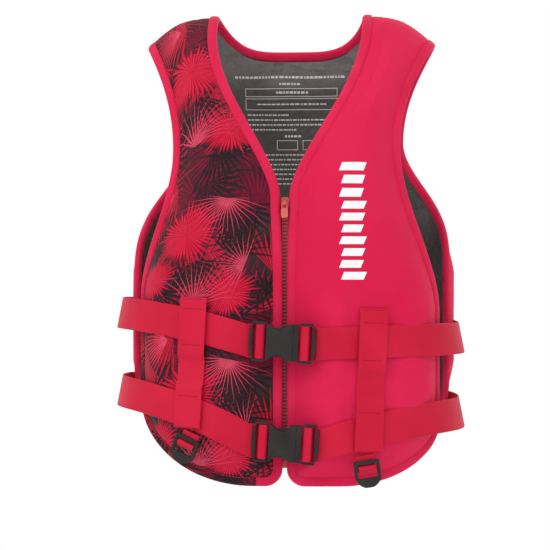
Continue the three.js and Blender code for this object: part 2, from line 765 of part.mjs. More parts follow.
// ---------------------------------------------------------------- side-release buckles
// The frame at a buckle's outer end: a bowed outer bar, an inner bar and a slot on each side of it.
function frameShape(end) {
  const shape = new THREE.Shape();
  const tall = buckleHalfHeight;
  const corner = buckleHalfLength - buckleBow;
  shape.moveTo(end, -mouthHalfHeight);
  shape.lineTo(innerSlot[1], -tall);
  shape.lineTo(corner, -tall);
  shape.quadraticCurveTo(buckleHalfLength + buckleBow, 0, corner, tall);
  shape.lineTo(innerSlot[1], tall);
  shape.lineTo(end, mouthHalfHeight);
  return shape;
}

function slottedFrame() {
  let solid = toManifold(plate(frameShape(shellEnd - 1), -frameThickness / 2, frameThickness / 2));
  for (const [from, to] of [outerSlot, innerSlot]) {
    solid = solid.subtract(toManifold(block([from, -frameThickness, -slotHalfHeight],
      [to, frameThickness, slotHalfHeight])));
  }
  return solid;
}

// The bars' faces are thinner than the frame, so the webbing sits down in it.
function thinBar(solid, sign) {
  const reach = [sign * innerSlot[1], sign * outerSlot[0]].sort((a, b) => a - b);
  const relief = (near, far) => toManifold(block([reach[0] - 0.01, near, -slotHalfHeight],
    [reach[1] + 0.01, far, slotHalfHeight]));
  const trimmed = solid.subtract(relief(-buckleThickness, -barThickness / 2));
  return trimmed.subtract(relief(barThickness / 2, buckleThickness));
}

function plugHalf() {
  const collar = outline([[mouthAt + seamGap, -mouthHalfHeight], [shellEnd, -mouthHalfHeight],
    [shellEnd, mouthHalfHeight], [mouthAt + seamGap, mouthHalfHeight]]);
  const base = toManifold(plate(collar, -buckleThickness / 2, buckleThickness / 2));
  const guide = toManifold(block([-8, -guideHalfDepth, -guideHalfHeight],
    [mouthAt + 1, guideHalfDepth, guideHalfHeight]));
  return thinBar(slottedFrame().add(base), 1).add(guide);
}

function socketHalf() {
  const shell = new THREE.Shape();
  const waistFrom = -9;
  const waistTo = 1;
  const collarAt = 4.5;
  const root = mouthHalfHeight;
  shell.moveTo(-shellEnd, -root);
  shell.bezierCurveTo(-shellEnd + 4, -root, waistFrom, -waistHalfHeight, waistTo - 4, -waistHalfHeight);
  shell.quadraticCurveTo(waistTo, -waistHalfHeight, collarAt, -mouthHalfHeight);
  shell.lineTo(mouthAt, -mouthHalfHeight);
  shell.lineTo(mouthAt, mouthHalfHeight);
  shell.lineTo(collarAt, mouthHalfHeight);
  shell.quadraticCurveTo(waistTo, waistHalfHeight, waistTo - 4, waistHalfHeight);
  shell.bezierCurveTo(waistFrom, waistHalfHeight, -shellEnd + 4, root, -shellEnd, root);
  const body = toManifold(plate(shell, -buckleThickness / 2, buckleThickness / 2));
  const cavity = toManifold(block([cavityEnd, -cavityHalfDepth, -cavityHalfHeight],
    [mouthAt + 1, cavityHalfDepth, cavityHalfHeight]));
  return thinBar(slottedFrame().mirror([1, 0, 0]).add(body), -1).subtract(cavity);
}

// A springy arm with the thumb pad that shows in the socket's side window.
function prong(sign) {
  const root = mouthAt - seamGap;
  const pad = cavityHalfHeight - prongPlay;
  const shape = outline([[root, 9.2], [root, 13], [4.2, 13.2], [2.6, pad], [-7.5, pad - 0.3],
    [prongTip + 0.6, pad - 3.2], [prongTip, 10.4], [-8, 9.4]].map(([x, z]) => [x, sign * z]));
  return plate(shape, -prongHalfDepth, prongHalfDepth);
}

// Webbing over the inner bar, with both ends lying together behind the outer bar.
function beltLoop(sign) {
  const over = barThickness / 2 + seamGap + webbingThickness / 2;
  const outerAt = (outerSlot[0] + outerSlot[1]) / 2 - 0.3;
  const innerAt = (innerSlot[0] + innerSlot[1]) / 2;
  const second = loopTailDepth + webbingThickness + 0.15;
  const barFrom = innerSlot[1] + 0.6;
  const barTo = outerSlot[0] - 0.6;
  const route = [[beltStart, loopTailDepth], [35.5, loopTailDepth], [32.4, 4.2], [outerAt + 0.6, 1.8],
    [outerAt - 0.5, -1], [outerAt - 1.6, -over + 0.4], [barTo, -over], [barFrom, -over],
    [innerAt + 0.6, -over + 0.9], [innerAt, -1], [innerAt, 1.6], [innerAt + 0.8, 4.2],
    [innerAt + 3.4, second - 0.5], [innerAt + 7, second], [beltStart, second]];
  const curve = new THREE.CatmullRomCurve3(route.map(([x, y]) => new THREE.Vector3(sign * x, y, 0)), false,
    'catmullrom', 0.35);
  const stations = steps(32).map((step) => {
    const centre = curve.getPoint(step);
    const along = curve.getTangent(step);
    return { centre, across: new THREE.Vector3(0, 0, 1), outward: new THREE.Vector3(along.y, -along.x, 0) };
  });
  return strap(stations, webbingWidth, webbingThickness);
}

function addBuckle(belt) {
  const group = new THREE.Group();
  const beltLevel = beltRing(ringAngle(beltStart)).y;
  group.position.set(belt.buckle.x, beltLevel - loopTailDepth, belt.buckle.z);
  group.rotation.y = belt.buckle.tilt;
  vest.add(group);
  add(`${belt.name}_buckle_socket`, fromManifold(socketHalf()), buckleMaterial, group);
  add(`${belt.name}_buckle_plug`, fromManifold(plugHalf()), buckleMaterial, group);
  add(`${belt.name}_prong_top`, prong(1), buckleMaterial, group);
  add(`${belt.name}_prong_bottom`, prong(-1), buckleMaterial, group);
  add(`${belt.name}_belt_loop_printed`, beltLoop(-1), webbingMaterial, group);
  add(`${belt.name}_belt_loop_plain`, beltLoop(1), webbingMaterial, group);
}

addBuckle(upperBelt);
addBuckle(lowerBelt);

// ---------------------------------------------------------------- strap adjusters
function adjusterBody() {
  const shape = new THREE.Shape();
  const wide = adjusterHalfWidth;
  shape.moveTo(-wide, adjusterTop - 2);
  shape.quadraticCurveTo(-wide, adjusterTop, 2 - wide, adjusterTop);
  shape.lineTo(wide - 2, adjusterTop);
  shape.quadraticCurveTo(wide, adjusterTop, wide, adjusterTop - 2);
  shape.lineTo(wide, -9);
  shape.bezierCurveTo(wide - 1, -12, 8, -adjusterTab, 3, -adjusterTab);
  shape.lineTo(-3, -adjusterTab);
  shape.bezierCurveTo(-8, -adjusterTab, 1 - wide, -12, -wide, -9);
  const { halfWidth, top, bottom } = adjusterWindow;
  const bar = new THREE.CylinderGeometry(adjusterBar.radius, adjusterBar.radius, 2 * halfWidth + 1, 12);
  bar.rotateZ(Math.PI / 2);
  bar.translate(0, 0, adjusterBar.height);
  const body = toManifold(plate(shape, -adjusterThickness / 2, adjusterThickness / 2));
  const hole = block([-halfWidth, -adjusterThickness, bottom], [halfWidth, adjusterThickness, top]);
  return fromManifold(body.subtract(toManifold(hole)).add(toManifold(bar)));
}

// Webbing that comes down behind the adjuster, turns round its bar and goes back up.
function adjusterLoop() {
  const { width, thickness, play } = adjusterWebbing;
  const round = adjusterBar.radius + play + thickness / 2;
  const behind = adjusterThickness / 2 + play + thickness / 2;
  const second = behind + thickness + 0.4;
  const at = adjusterBar.height;
  const route = [[second, adjusterHang], [second, at + 5], [second - 0.5, at], [second - 2.2, at - round + 0.4],
    [0, at - round - 0.3], [-round, at], [-round * 0.7, at + round * 0.7], [0, at + round],
    [behind - 1, at + round + 0.3], [behind, at + round + 2], [behind, at + round + 4], [behind, adjusterHang]];
  const curve = new THREE.CatmullRomCurve3(route.map(([y, z]) => new THREE.Vector3(0, y, z)), false,
    'catmullrom', 0.4);
  const stations = steps(26).map((step) => {
    const centre = curve.getPoint(step);
    const along = curve.getTangent(step);
    return { centre, across: new THREE.Vector3(1, 0, 0), outward: new THREE.Vector3(0, along.z, -along.y) };
  });
  return strap(stations, width, thickness);
}

function addAdjuster(key, place, keeper) {
  const hangFrom = keeper.bottom[1] - adjusterDrop;
  const outward = torsoNormal(front, place.x, hangFrom);
  const flat = new THREE.Vector3(outward.x, outward.y, 0).normalize();
  const depth = panelDepth(frontThickness) + adjusterStandOff;
  const top = torsoPoint(front, place.x, hangFrom).addScaledVector(flat, depth);
  const group = new THREE.Group();
  const turn = new THREE.Group();
  group.position.copy(top);
  group.rotation.z = Math.atan2(flat.x, -flat.y);
  turn.rotation.y = place.tilt;
  group.add(turn);
  vest.add(group);
  const hang = new THREE.Group();
  const { width, thickness, play } = adjusterWebbing;
  const behind = adjusterThickness / 2 + play + thickness;
  hang.position.set(0, -behind, -adjusterHang - Math.abs(Math.sin(place.tilt)) * width / 2);
  turn.add(hang);
  add(`adjuster_${key}`, adjusterBody(), buckleMaterial, hang);
  add(`adjuster_webbing_${key}`, adjusterLoop(), webbingMaterial, hang);
}

addAdjuster('printed', printedAdjuster, printedKeeper);
addAdjuster('plain', plainAdjuster, plainKeeper);

export default vest;
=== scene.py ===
import math

import bpy
import numpy as np
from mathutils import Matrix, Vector


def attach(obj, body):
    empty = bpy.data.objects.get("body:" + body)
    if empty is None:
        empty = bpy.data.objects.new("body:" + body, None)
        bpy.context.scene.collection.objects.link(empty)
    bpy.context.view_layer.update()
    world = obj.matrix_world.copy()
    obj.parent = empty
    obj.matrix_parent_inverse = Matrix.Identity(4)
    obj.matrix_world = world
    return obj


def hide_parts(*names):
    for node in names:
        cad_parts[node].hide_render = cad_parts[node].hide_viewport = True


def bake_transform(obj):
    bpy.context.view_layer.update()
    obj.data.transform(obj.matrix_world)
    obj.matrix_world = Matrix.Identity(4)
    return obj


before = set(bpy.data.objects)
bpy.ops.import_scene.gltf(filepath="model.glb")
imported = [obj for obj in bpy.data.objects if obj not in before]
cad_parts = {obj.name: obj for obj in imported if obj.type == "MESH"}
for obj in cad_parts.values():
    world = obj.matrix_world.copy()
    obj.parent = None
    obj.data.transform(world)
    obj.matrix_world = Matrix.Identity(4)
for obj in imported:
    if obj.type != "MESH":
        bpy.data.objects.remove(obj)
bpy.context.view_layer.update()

MM = 0.001

# ---------- camera, floor and light
camera_data = bpy.data.cameras.new("camera")
camera = bpy.data.objects.new("camera", camera_data)
bpy.context.scene.collection.objects.link(camera)
camera_turn = math.radians(3.5)
camera_distance = 2.2
camera.location = (camera_distance * math.sin(camera_turn), -camera_distance * math.cos(camera_turn), 0.238)
aim = Vector((-0.019, 0.0, 0.238)) - Vector(camera.location)
camera.rotation_euler = aim.to_track_quat("-Z", "Y").to_euler()
camera_data.sensor_width = 36
camera_data.lens = 121.1
camera_data.clip_end = 60
bpy.context.scene.camera = camera
bpy.context.scene.view_settings.view_transform = "Standard"

world = bpy.data.worlds.new("studio")
bpy.context.scene.world = world
world.use_nodes = True
background = world.node_tree.nodes["Background"].inputs
background["Color"].default_value = (1, 1, 1, 1)
background["Strength"].default_value = 1.0


def area_light(name, place, target, size, power):
    data = bpy.data.lights.new(name, "AREA")
    data.energy = power
    data.size = size
    light = bpy.data.objects.new(name, data)
    bpy.context.scene.collection.objects.link(light)
    light.location = place
    light.rotation_euler = (Vector(target) - Vector(place)).to_track_quat("-Z", "Y").to_euler()


area_light("key", (-1.3, -1.9, 1.9), (0, 0, 0.3), 1.0, 17)
area_light("back", (1.2, 2.2, 1.6), (0, 0, 0.3), 1.2, 10)

# ---------- the vest's form, in millimetres, as the frame has it
TORSO_HALF_WIDTH = 181
TORSO_SQUARENESS = 2.5
NECK_HALF_WIDTH, TIP_HALF_WIDTH = 85, 168
NECK_HEIGHT, SHOULDER_DROP, SHOULDER_BEND = 539, 34, 1.9
TIP_HEIGHT = NECK_HEIGHT - SHOULDER_DROP
CHEST_HEIGHT = NECK_HEIGHT * 0.612
BACK_NECK_DROP, BACK_NECK_SQUARENESS = 31, 4.3
FRONT = {"sign": -1, "depth": 112, "curl": 1.6}
BACK = {"sign": 1, "depth": 114, "curl": 2.2}
PRINTED = {
    "sign": -1, "edge": 166, "corner": (128, 97), "side_top": CHEST_HEIGHT - 118,
    "armhole": CHEST_HEIGHT + 46,
}
PLAIN = {
    "sign": 1, "edge": 170, "corner": (106, 68), "side_top": CHEST_HEIGHT - 135,
    "armhole": CHEST_HEIGHT + 52,
}
ARMHOLE_HALF_WIDTH = 128
INNER_CORNER = 20
BACK_ARMHOLE_HALF_WIDTH = 131
BACK_ARMHOLE_HEIGHT = CHEST_HEIGHT + 70
WING_TOP = CHEST_HEIGHT - 85
WING_CORNER_ANGLE, WING_CORNER_HEIGHT, WING_CORNER_POWER = 0.95, 128, 1.35
VEE_FOOT, VEE_BEND = 5.5, 1.45
ZIP_OPENING = 2.6
LINING_GAP = 0.15
EDGE_THICKNESS, SHOULDER_THICKNESS, EDGE_ROUND = 5.4, 9.5, 46
UNDER_BINDING, PANEL_FOOT, EDGE_STEP = 8, 7, 3
LINING_FACE, FOAM_BACK = 2.2, 2.6
FRONT_CROWN, BACK_CROWN = 24.8, 20.5
BELT_BULGE_AT, SEAM_AT = 34, 25
BACK_FOLD = CHEST_HEIGHT * 0.87


def smooth(t):
    t = np.clip(t, 0, 1)
    return t * t * (3 - 2 * t)


def lerp(a, b, t):
    return a + (b - a) * t


def unit(v):
    return v / np.maximum(np.linalg.norm(v, axis=-1, keepdims=True), 1e-9)


def falloff(t, power):
    return (1 - np.clip(t, 0, 1) ** power) ** (1 / power)


def shoulder_height(x):
    out = np.clip((np.abs(x) - NECK_HALF_WIDTH) / (TIP_HALF_WIDTH - NECK_HALF_WIDTH), 0, 1)
    return NECK_HEIGHT - SHOULDER_DROP * out ** SHOULDER_BEND


def torso_reach(face, x, z):
    rise = np.clip((z - CHEST_HEIGHT) / (shoulder_height(x) - CHEST_HEIGHT), 0, 1)
    return face["depth"] * falloff(rise, face["curl"])


def torso_depth(face, x, z):
    return face["sign"] * torso_reach(face, x, z) * falloff(np.abs(x) / TORSO_HALF_WIDTH, TORSO_SQUARENESS)


def torso_point(face, x, z):
    x, z = np.broadcast_arrays(np.asarray(x, float), np.asarray(z, float))
    return np.stack([x, torso_depth(face, x, z) + face["sign"] * LINING_GAP, z], axis=-1)


def torso_normal(face, x, z):
    x, z = np.broadcast_arrays(np.asarray(x, float), np.asarray(z, float))
    step = 0.01
    high = np.minimum(z, shoulder_height(x) - 3 * step)
    wide = np.sign(x) * np.minimum(np.abs(x), TORSO_HALF_WIDTH * 0.9995)
    y = torso_depth(face, wide, high)

    def level(px, py, pz):
        return ((np.abs(px) / TORSO_HALF_WIDTH) ** TORSO_SQUARENESS
                + (np.abs(py) / np.maximum(torso_reach(face, px, pz), 1e-6)) ** TORSO_SQUARENESS)

    slope = np.stack([level(wide + step, y, high) - level(wide - step, y, high),
                      level(wide, y + step, high) - level(wide, y - step, high),
                      level(wide, y, high + step) - level(wide, y, high - step)], axis=-1)
    return unit(slope)


def front_inner(z):
    z = np.asarray(z, float)
    climb = np.clip((z - CHEST_HEIGHT) / (NECK_HEIGHT - CHEST_HEIGHT) / 0.95, 0, 1)
    vee = VEE_FOOT + (NECK_HALF_WIDTH - VEE_FOOT) * np.sin(climb * math.pi / 2) ** VEE_BEND
    opening = lerp(ZIP_OPENING, VEE_FOOT, smooth(1 - (CHEST_HEIGHT - z) / 90))
    low = np.clip((INNER_CORNER - z) / INNER_CORNER, 0, 1)
    return np.where(z > CHEST_HEIGHT, vee, opening + INNER_CORNER * (1 - np.sqrt(1 - low * low)))


def front_outer(side, z):
    z = np.asarray(z, float)
    climb = np.clip((z - side["armhole"]) / (TIP_HEIGHT - side["armhole"]), 0, 1)
    high = lerp(ARMHOLE_HALF_WIDTH, TIP_HALF_WIDTH, climb * climb)
    width, height = side["corner"]
    low = np.clip((height - z) / height, 0, 1)
    narrowing = smooth((z - side["side_top"]) / (side["armhole"] - side["side_top"]))
    reach = lerp(side["edge"], ARMHOLE_HALF_WIDTH, narrowing)
    return np.where(z > side["armhole"], high, reach - width * (1 - falloff(low, 2)))


def side_angle(x):
    return np.arcsin(np.clip(x / TORSO_HALF_WIDTH, 0, 1) ** (TORSO_SQUARENESS / 2))


def side_place(angle):
    return TORSO_HALF_WIDTH * np.sin(np.clip(angle, 0, math.pi / 2)) ** (2 / TORSO_SQUARENESS)


def back_edge_angle(z):
    z = np.asarray(z, float)
    climb = np.clip((z - BACK_ARMHOLE_HEIGHT) / (TIP_HEIGHT - BACK_ARMHOLE_HEIGHT), 0, 1)
    high = side_angle(lerp(BACK_ARMHOLE_HALF_WIDTH, TIP_HALF_WIDTH, climb * climb))
    low = np.clip((WING_CORNER_HEIGHT - z) / WING_CORNER_HEIGHT, 0, 1)
    narrowing = smooth((z - WING_TOP) / (BACK_ARMHOLE_HEIGHT - WING_TOP))
    wide = lerp(math.pi / 2, side_angle(BACK_ARMHOLE_HALF_WIDTH), narrowing)
    wing = wide - WING_CORNER_ANGLE * (1 - falloff(low, WING_CORNER_POWER))
    return np.where(z > BACK_ARMHOLE_HEIGHT, high, wing)


def neckline(x):
    out = np.clip(np.abs(x) / NECK_HALF_WIDTH, 0, 1)
    return NECK_HEIGHT - BACK_NECK_DROP * (1 - out ** BACK_NECK_SQUARENESS)


# ---------- belts, as the frame has them
FRONT_THICKNESS = 24
FRAME_BELT_WIDTH, WEBBING_THICKNESS = 38, 1.6
BELT_WIDTH = 36.5
KEEPER_WIDTH = 32
BELT_STAND_OFF = 2.4
BELT_DEPTH = FRONT_THICKNESS + BELT_STAND_OFF + WEBBING_THICKNESS / 2
BELT_HALF_WIDTH = TORSO_HALF_WIDTH + FRONT_THICKNESS * 0.84
BELT_START = 40
BELT_LEAN, BELT_EASE = 0.2, 1.7
KEEPER_STAND_OFF, KEEPER_LIFT = 1.2, 4.3
UPPER = {"name": "upper", "x": -1, "z": 163, "tilt": 0.05, "side": {-1: 194, 1: 165}, "back": 182}
LOWER = {"name": "lower", "x": 2, "z": 51, "tilt": 0.06, "side": {-1: 103, 1: 78}, "back": 88}
BELTS = (UPPER, LOWER)
KEEPERS = {
    "belt_keeper_printed": (FRONT, -1, (94, 213), (101, 66)),
    "belt_keeper_plain": (FRONT, 1, (94, 201), (88, 40)),
    "back_keeper_printed": (BACK, -1, (62, 218), (62, 52)),
    "back_keeper_plain": (BACK, 1, (62, 218), (62, 52)),
}


def belt_ring(angle):
    depth = np.where(angle < math.pi / 2, -(FRONT["depth"] + BELT_DEPTH), BACK["depth"] + BELT_DEPTH)
    bend = 2 / TORSO_SQUARENESS
    return BELT_HALF_WIDTH * np.sin(angle) ** bend, depth * np.abs(np.cos(angle)) ** bend


def ring_angle(x):
    return math.asin((x / BELT_HALF_WIDTH) ** (TORSO_SQUARENESS / 2))


def tie_at(belt, sign):
    return BELT_START + sign * belt["x"]


def belt_height(belt, sign, angle):
    tie = belt["z"] - sign * BELT_START * math.sin(belt["tilt"])
    side = belt["side"][sign]
    start = tie_at(belt, sign)
    x, _ = belt_ring(angle)
    along = np.clip((x - start) / (BELT_HALF_WIDTH - start), 0, 1)
    behind = smooth((angle - math.pi / 2) / (math.pi / 2))
    ahead = 1 - (1 - along) ** BELT_EASE
    return np.where(angle > math.pi / 2, lerp(side, belt["back"], behind), lerp(tie, side, ahead))


def belt_frame(belt, sign, angles, level):
    """Centre, across and outward of the belt at each angle; level is 1 where it has the buckle's tilt."""
    def centre(angle):
        x, y = belt_ring(angle)
        return np.stack([sign * x, y, belt_height(belt, sign, angle)], axis=-1)

    step = 0.004
    along = unit(centre(np.minimum(angles + step, math.pi)) - centre(np.maximum(angles - step, 0)))
    outward = unit(np.stack([along[:, 1], -along[:, 0], np.zeros(len(angles))], axis=-1) * sign)
    across = np.cross(outward, along)
    across *= np.sign(across[:, 2:3])
    across = unit(across - outward * (BELT_LEAN * np.sin(angles) ** 4)[:, None])
    tilted = np.array([math.sin(belt["tilt"]), 0, math.cos(belt["tilt"])])
    across = unit(lerp(across, tilted, level[:, None]))
    outward = unit(outward - across * np.sum(outward * across, axis=-1, keepdims=True))
    return centre(angles), across, outward


def nearest_belt(sign, x, z):
    """How far (x, z) is from the middle of the nearest belt in front."""
    angle = np.arcsin(np.clip(x / BELT_HALF_WIDTH, 0, 1) ** (TORSO_SQUARENESS / 2))
    gaps = [np.abs(z - belt_height(belt, sign, np.minimum(angle, math.pi / 2))) for belt in BELTS]
    return np.minimum(*gaps)


# ---------- meshes
def make_object(name, points, faces, uv=None, sharp=False):
    mesh = bpy.data.meshes.new(name)
    mesh.from_pydata((np.asarray(points) * MM).tolist(), [], faces)
    mesh.update()
    if uv is not None:
        layer = mesh.uv_layers.new(name="surface")
        index = np.empty(len(mesh.loops), dtype=np.int32)
        mesh.loops.foreach_get("vertex_index", index)
        layer.data.foreach_set("uv", (np.asarray(uv)[index] * MM).astype(np.float32).ravel())
    if not sharp:
        mesh.polygons.foreach_set("use_smooth", [True] * len(mesh.polygons))
    volume = sum(p.area * p.center.dot(p.normal) for p in mesh.polygons)
    if volume < 0:
        mesh.flip_normals()
    piece = bpy.data.objects.new(name, mesh)
    bpy.context.scene.collection.objects.link(piece)
    return piece


def grid_faces(rows, columns, start=0, turned=False, closed=False):
    faces = []
    wide = columns if closed else columns - 1
    for r in range(rows - 1):
        for c in range(wide):
            a = start + r * columns + c
            b = start + r * columns + (c + 1) % columns
            quad = (a, b, b + columns, a + columns)
            faces.append(quad[::-1] if turned else quad)
    return faces


def slab_faces(rows, columns, start=0):
    """The faces of a closed solid whose outer grid of points is followed by its inner one."""
    count = rows * columns
    faces = grid_faces(rows, columns, start) + grid_faces(rows, columns, start + count, turned=True)
    rim = ([(0, c) for c in range(columns)] + [(r, columns - 1) for r in range(1, rows)]
           + [(rows - 1, c) for c in range(columns - 2, -1, -1)] + [(r, 0) for r in range(rows - 2, 0, -1)])
    flat = [start + r * columns + c for r, c in rim]
    for here, after in zip(flat, flat[1:] + flat[:1]):
        faces.append((here, here + count, after + count, after))
    return faces


def slab(name, outer, inner, uv):
    """A closed solid between two grids of points, each rows x columns x 3."""
    points = np.concatenate([outer.reshape(-1, 3), inner.reshape(-1, 3)])
    return make_object(name, points, slab_faces(*outer.shape[:2]), np.concatenate([uv.reshape(-1, 2)] * 2))


def travelled(path):
    """The length of the path from its start to each of its points."""
    return np.concatenate([[0], np.cumsum(np.linalg.norm(np.diff(path, axis=0), axis=1))])


def sweep(name, centres, axis_a, axis_b, profile):
    """A profile of (a, b) pairs carried along a path; its UV runs round the profile and along the path."""
    profile = np.asarray(profile, float)
    points = (centres[:, None, :] + axis_a[:, None, :] * profile[None, :, :1]
              + axis_b[:, None, :] * profile[None, :, 1:])
    rows, columns, _ = points.shape
    faces = grid_faces(rows, columns, closed=True)
    faces += [tuple(range(columns))[::-1], tuple((rows - 1) * columns + c for c in range(columns))]
    uv = np.stack(np.broadcast_arrays(profile[None, :, 0], travelled(centres)[:, None]), axis=-1)
    return make_object(name, points.reshape(-1, 3), faces, uv.reshape(-1, 2))


def tape_profile(width, thickness, steps=12):
    """A flat webbing section with rounded selvedges."""
    half, thin = width / 2, thickness / 2
    across = np.linspace(-half + thin, half - thin, steps)
    top = [(a, thin) for a in across]
    right = [(half - thin + thin * math.sin(t), thin * math.cos(t)) for t in np.arange(1, 4) * math.pi / 4]
    return top + right + [(-a, -b) for a, b in top + right]


def even(points, step):
    """The same path with points a step apart."""
    points = np.asarray(points, float)
    points = points[np.diff(travelled(points), prepend=-1) > 1e-6]
    along = travelled(points)
    wanted = np.linspace(0, along[-1], max(4, int(along[-1] / step)))
    return np.stack([np.interp(wanted, along, points[:, k]) for k in range(points.shape[1])], axis=-1)


def dashes(name, centres, along, outward, length, radius, pitch):
    """Stitches: one short rounded thread for each pitch along the path."""
    lengths = travelled(centres)
    points, faces = [], []
    for place in np.arange(pitch, lengths[-1] - pitch, pitch):
        c, t, n = (np.array([np.interp(place, lengths, source[:, k]) for k in range(3)])
                   for source in (centres, along, outward))
        b = np.cross(t, n)
        start = len(points)
        for share, swell in ((-0.5, 0.3), (-0.32, 1), (0.32, 1), (0.5, 0.3)):
            for turn in range(6):
                angle = turn * math.pi / 3
                sink = radius * (0.35 if abs(share) < 0.4 else -0.5)
                points.append(c + t * length * share + n * (sink + radius * swell * math.sin(angle))
                              + b * radius * swell * math.cos(angle))
        faces += grid_faces(4, 6, start, closed=True)
        faces += [tuple(range(start, start + 6))[::-1], tuple(range(start + 18, start + 24))]
    return make_object(name, np.array(points), faces)


# ---------- materials
def linear(hex_colour):
    """A colour as it is seen, made a little deeper, because the bright studio adds its own reflection."""
    channels = [int(hex_colour[i:i + 2], 16) / 255 for i in (1, 3, 5)]
    seen = [c / 12.92 if c <= 0.04045 else ((c + 0.055) / 1.055) ** 2.4 for c in channels]
    return tuple(max(c * 0.95 - 0.012, 0.001) for c in seen) + (1.0,)


class Nodes:
    """Small helper that adds and links the nodes of one tree."""

    def __init__(self, tree):
        self.tree = tree

    def give(self, socket, value):
        """Sets a socket to a number or a colour, or links another node's output to it."""
        if isinstance(value, str):
            socket.default_value = linear(value)
        elif isinstance(value, (int, float, tuple)):
            socket.default_value = value
        elif value is not None:
            self.tree.links.new(value, socket)

    def node(self, kind, values=None, **settings):
        node = self.tree.nodes.new(kind)
        for key, value in settings.items():
            setattr(node, key, value)
        for socket, value in (values or {}).items():
            self.give(node.inputs[socket], value)
        return node

    def math(self, operation, a, b=None, c=None):
        return self.node("ShaderNodeMath", {0: a, 1: b, 2: c}, operation=operation).outputs[0]

    def place(self, kind="Object"):
        return self.node("ShaderNodeTexCoord").outputs[kind]

    def split(self, vector):
        return self.node("ShaderNodeSeparateXYZ", {0: vector}).outputs

    def noise(self, vector, scale, detail=3.0, roughness=0.5):
        values = {"Vector": vector, "Scale": scale, "Detail": detail, "Roughness": roughness}
        return self.node("ShaderNodeTexNoise", values).outputs["Fac"]

    def ramp(self, factor, stops):
        node = self.node("ShaderNodeValToRGB", {0: factor})
        for element, (position, colour) in zip(node.color_ramp.elements, stops):
            element.position = position
            element.color = linear(colour)
        return node.outputs[0]

    def mix(self, factor, a, b):
        return self.node("ShaderNodeMix", {0: factor, 6: a, 7: b}, data_type="RGBA").outputs[2]

    def range(self, value, low, high, to_low=0.0, to_high=1.0):
        values = {0: value, 1: low, 2: high, 3: to_low, 4: to_high}
        return self.node("ShaderNodeMapRange", values, interpolation_type="SMOOTHSTEP").outputs[0]

    def bump(self, height, distance, strength=1.0, normal=None):
        values = {"Strength": strength, "Distance": distance, "Height": height, "Normal": normal}
        return self.node("ShaderNodeBump", values).outputs[0]

    def waves(self, value, pitch):
        """A sine wave with one crest for each pitch, in metres."""
        return self.math("SINE", self.math("MULTIPLY", value, 2 * math.pi / pitch))


class Shader(Nodes):
    """The nodes of one material."""

    def __init__(self, name, roughness, sheen=0.0, sheen_roughness=0.5, specular=0.2):
        self.material = bpy.data.materials.new(name)
        self.material.use_nodes = True
        super().__init__(self.material.node_tree)
        self.surface = self.tree.nodes["Principled BSDF"]
        for socket, value in (("Roughness", roughness), ("Sheen Weight", sheen),
                              ("Sheen Roughness", sheen_roughness), ("Specular IOR Level", specular)):
            self.surface.inputs[socket].default_value = value

    def finish(self, colour, normal=None, roughness=None):
        for socket, value in (("Base Color", colour), ("Normal", normal), ("Roughness", roughness)):
            self.give(self.surface.inputs[socket], value)
        return self.material


def knit_height(shader, vector, pitch):
    """Fine crossed ribs of a knitted or woven cloth, from UV in metres."""
    x, y, _ = shader.split(vector)
    return shader.math("MULTIPLY", shader.waves(x, pitch * MM), shader.waves(y, pitch * MM))


def cloth(name, colours, pitch=0.9, roughness=0.72, sheen=0.03, mottling=9.0, creases=0.0, knit=0.00012,
          painted_top_highlight=None):
    shader = Shader(name, roughness, sheen, 0.45, 0.15)
    uv, place = shader.place("UV"), shader.place()
    patches = shader.noise(place, mottling, 4, 0.55)
    grain = shader.noise(place, 900, 2, 0.6)
    tone = shader.math("ADD", shader.math("MULTIPLY", patches, 0.75), shader.math("MULTIPLY", grain, 0.25))
    colour = shader.ramp(tone, [(0.3, colours[0]), (0.7, colours[1])])
    # painted highlight: above a given height the cloth is mixed towards a lighter colour, so the lining's top
    # near the neck looks lit; uneven is that height, made a little wavy by the colour patches
    if painted_top_highlight:
        low, high, highlight_colour = painted_top_highlight
        up = shader.split(place)[2]
        uneven = shader.math("ADD", up, shader.math("MULTIPLY", patches, 0.03))
        colour = shader.mix(shader.range(uneven, low + 0.015, high + 0.015, 0.0, 0.8), colour, highlight_colour)
    normal = shader.bump(knit_height(shader, uv, pitch), knit, 0.5)
    normal = shader.bump(grain, 0.0001, 0.35, normal)
    if creases:
        folds = shader.noise(place, 18, 4, 0.55)
        normal = shader.bump(folds, creases, 0.9, normal)
    return shader.finish(colour, normal)


def webbing_cloth(name, colours, rib_pitch=0.0014, column_pitch=0.0021):
    """Flat woven webbing: fine ribs across it and coarser columns along it."""
    shader = Shader(name, 0.62, 0.05, 0.4, 0.2)
    uv, place = shader.place("UV"), shader.place()
    across, along, _ = shader.split(uv)
    ribs = shader.math("MULTIPLY", shader.waves(along, rib_pitch), 0.6)
    columns = shader.math("MULTIPLY", shader.waves(across, column_pitch), 0.4)
    weave = shader.math("ADD", ribs, columns)
    patches = shader.noise(place, 14, 3, 0.5)
    tone = shader.math("ADD", shader.math("MULTIPLY", patches, 0.8), shader.math("MULTIPLY", weave, 0.05))
    colour = shader.ramp(tone, [(0.25, colours[0]), (0.6, colours[1])])
    normal = shader.bump(weave, 0.00012, 0.55)
    return shader.finish(colour, shader.bump(patches, 0.0006, 0.25, normal))


def moulded(name, colours, roughness=0.42, grain=1400):
    shader = Shader(name, roughness, 0, 0.5, 0.35)
    place = shader.place()
    fine = shader.noise(place, grain, 3, 0.6)
    broad = shader.noise(place, 45, 3, 0.5)
    colour = shader.ramp(broad, [(0.3, colours[0]), (0.7, colours[1])])
    rough = shader.range(shader.noise(place, 160, 3, 0.6), 0.3, 0.7, roughness - 0.08, roughness + 0.1)
    return shader.finish(colour, shader.bump(fine, 0.00006, 0.5), rough)


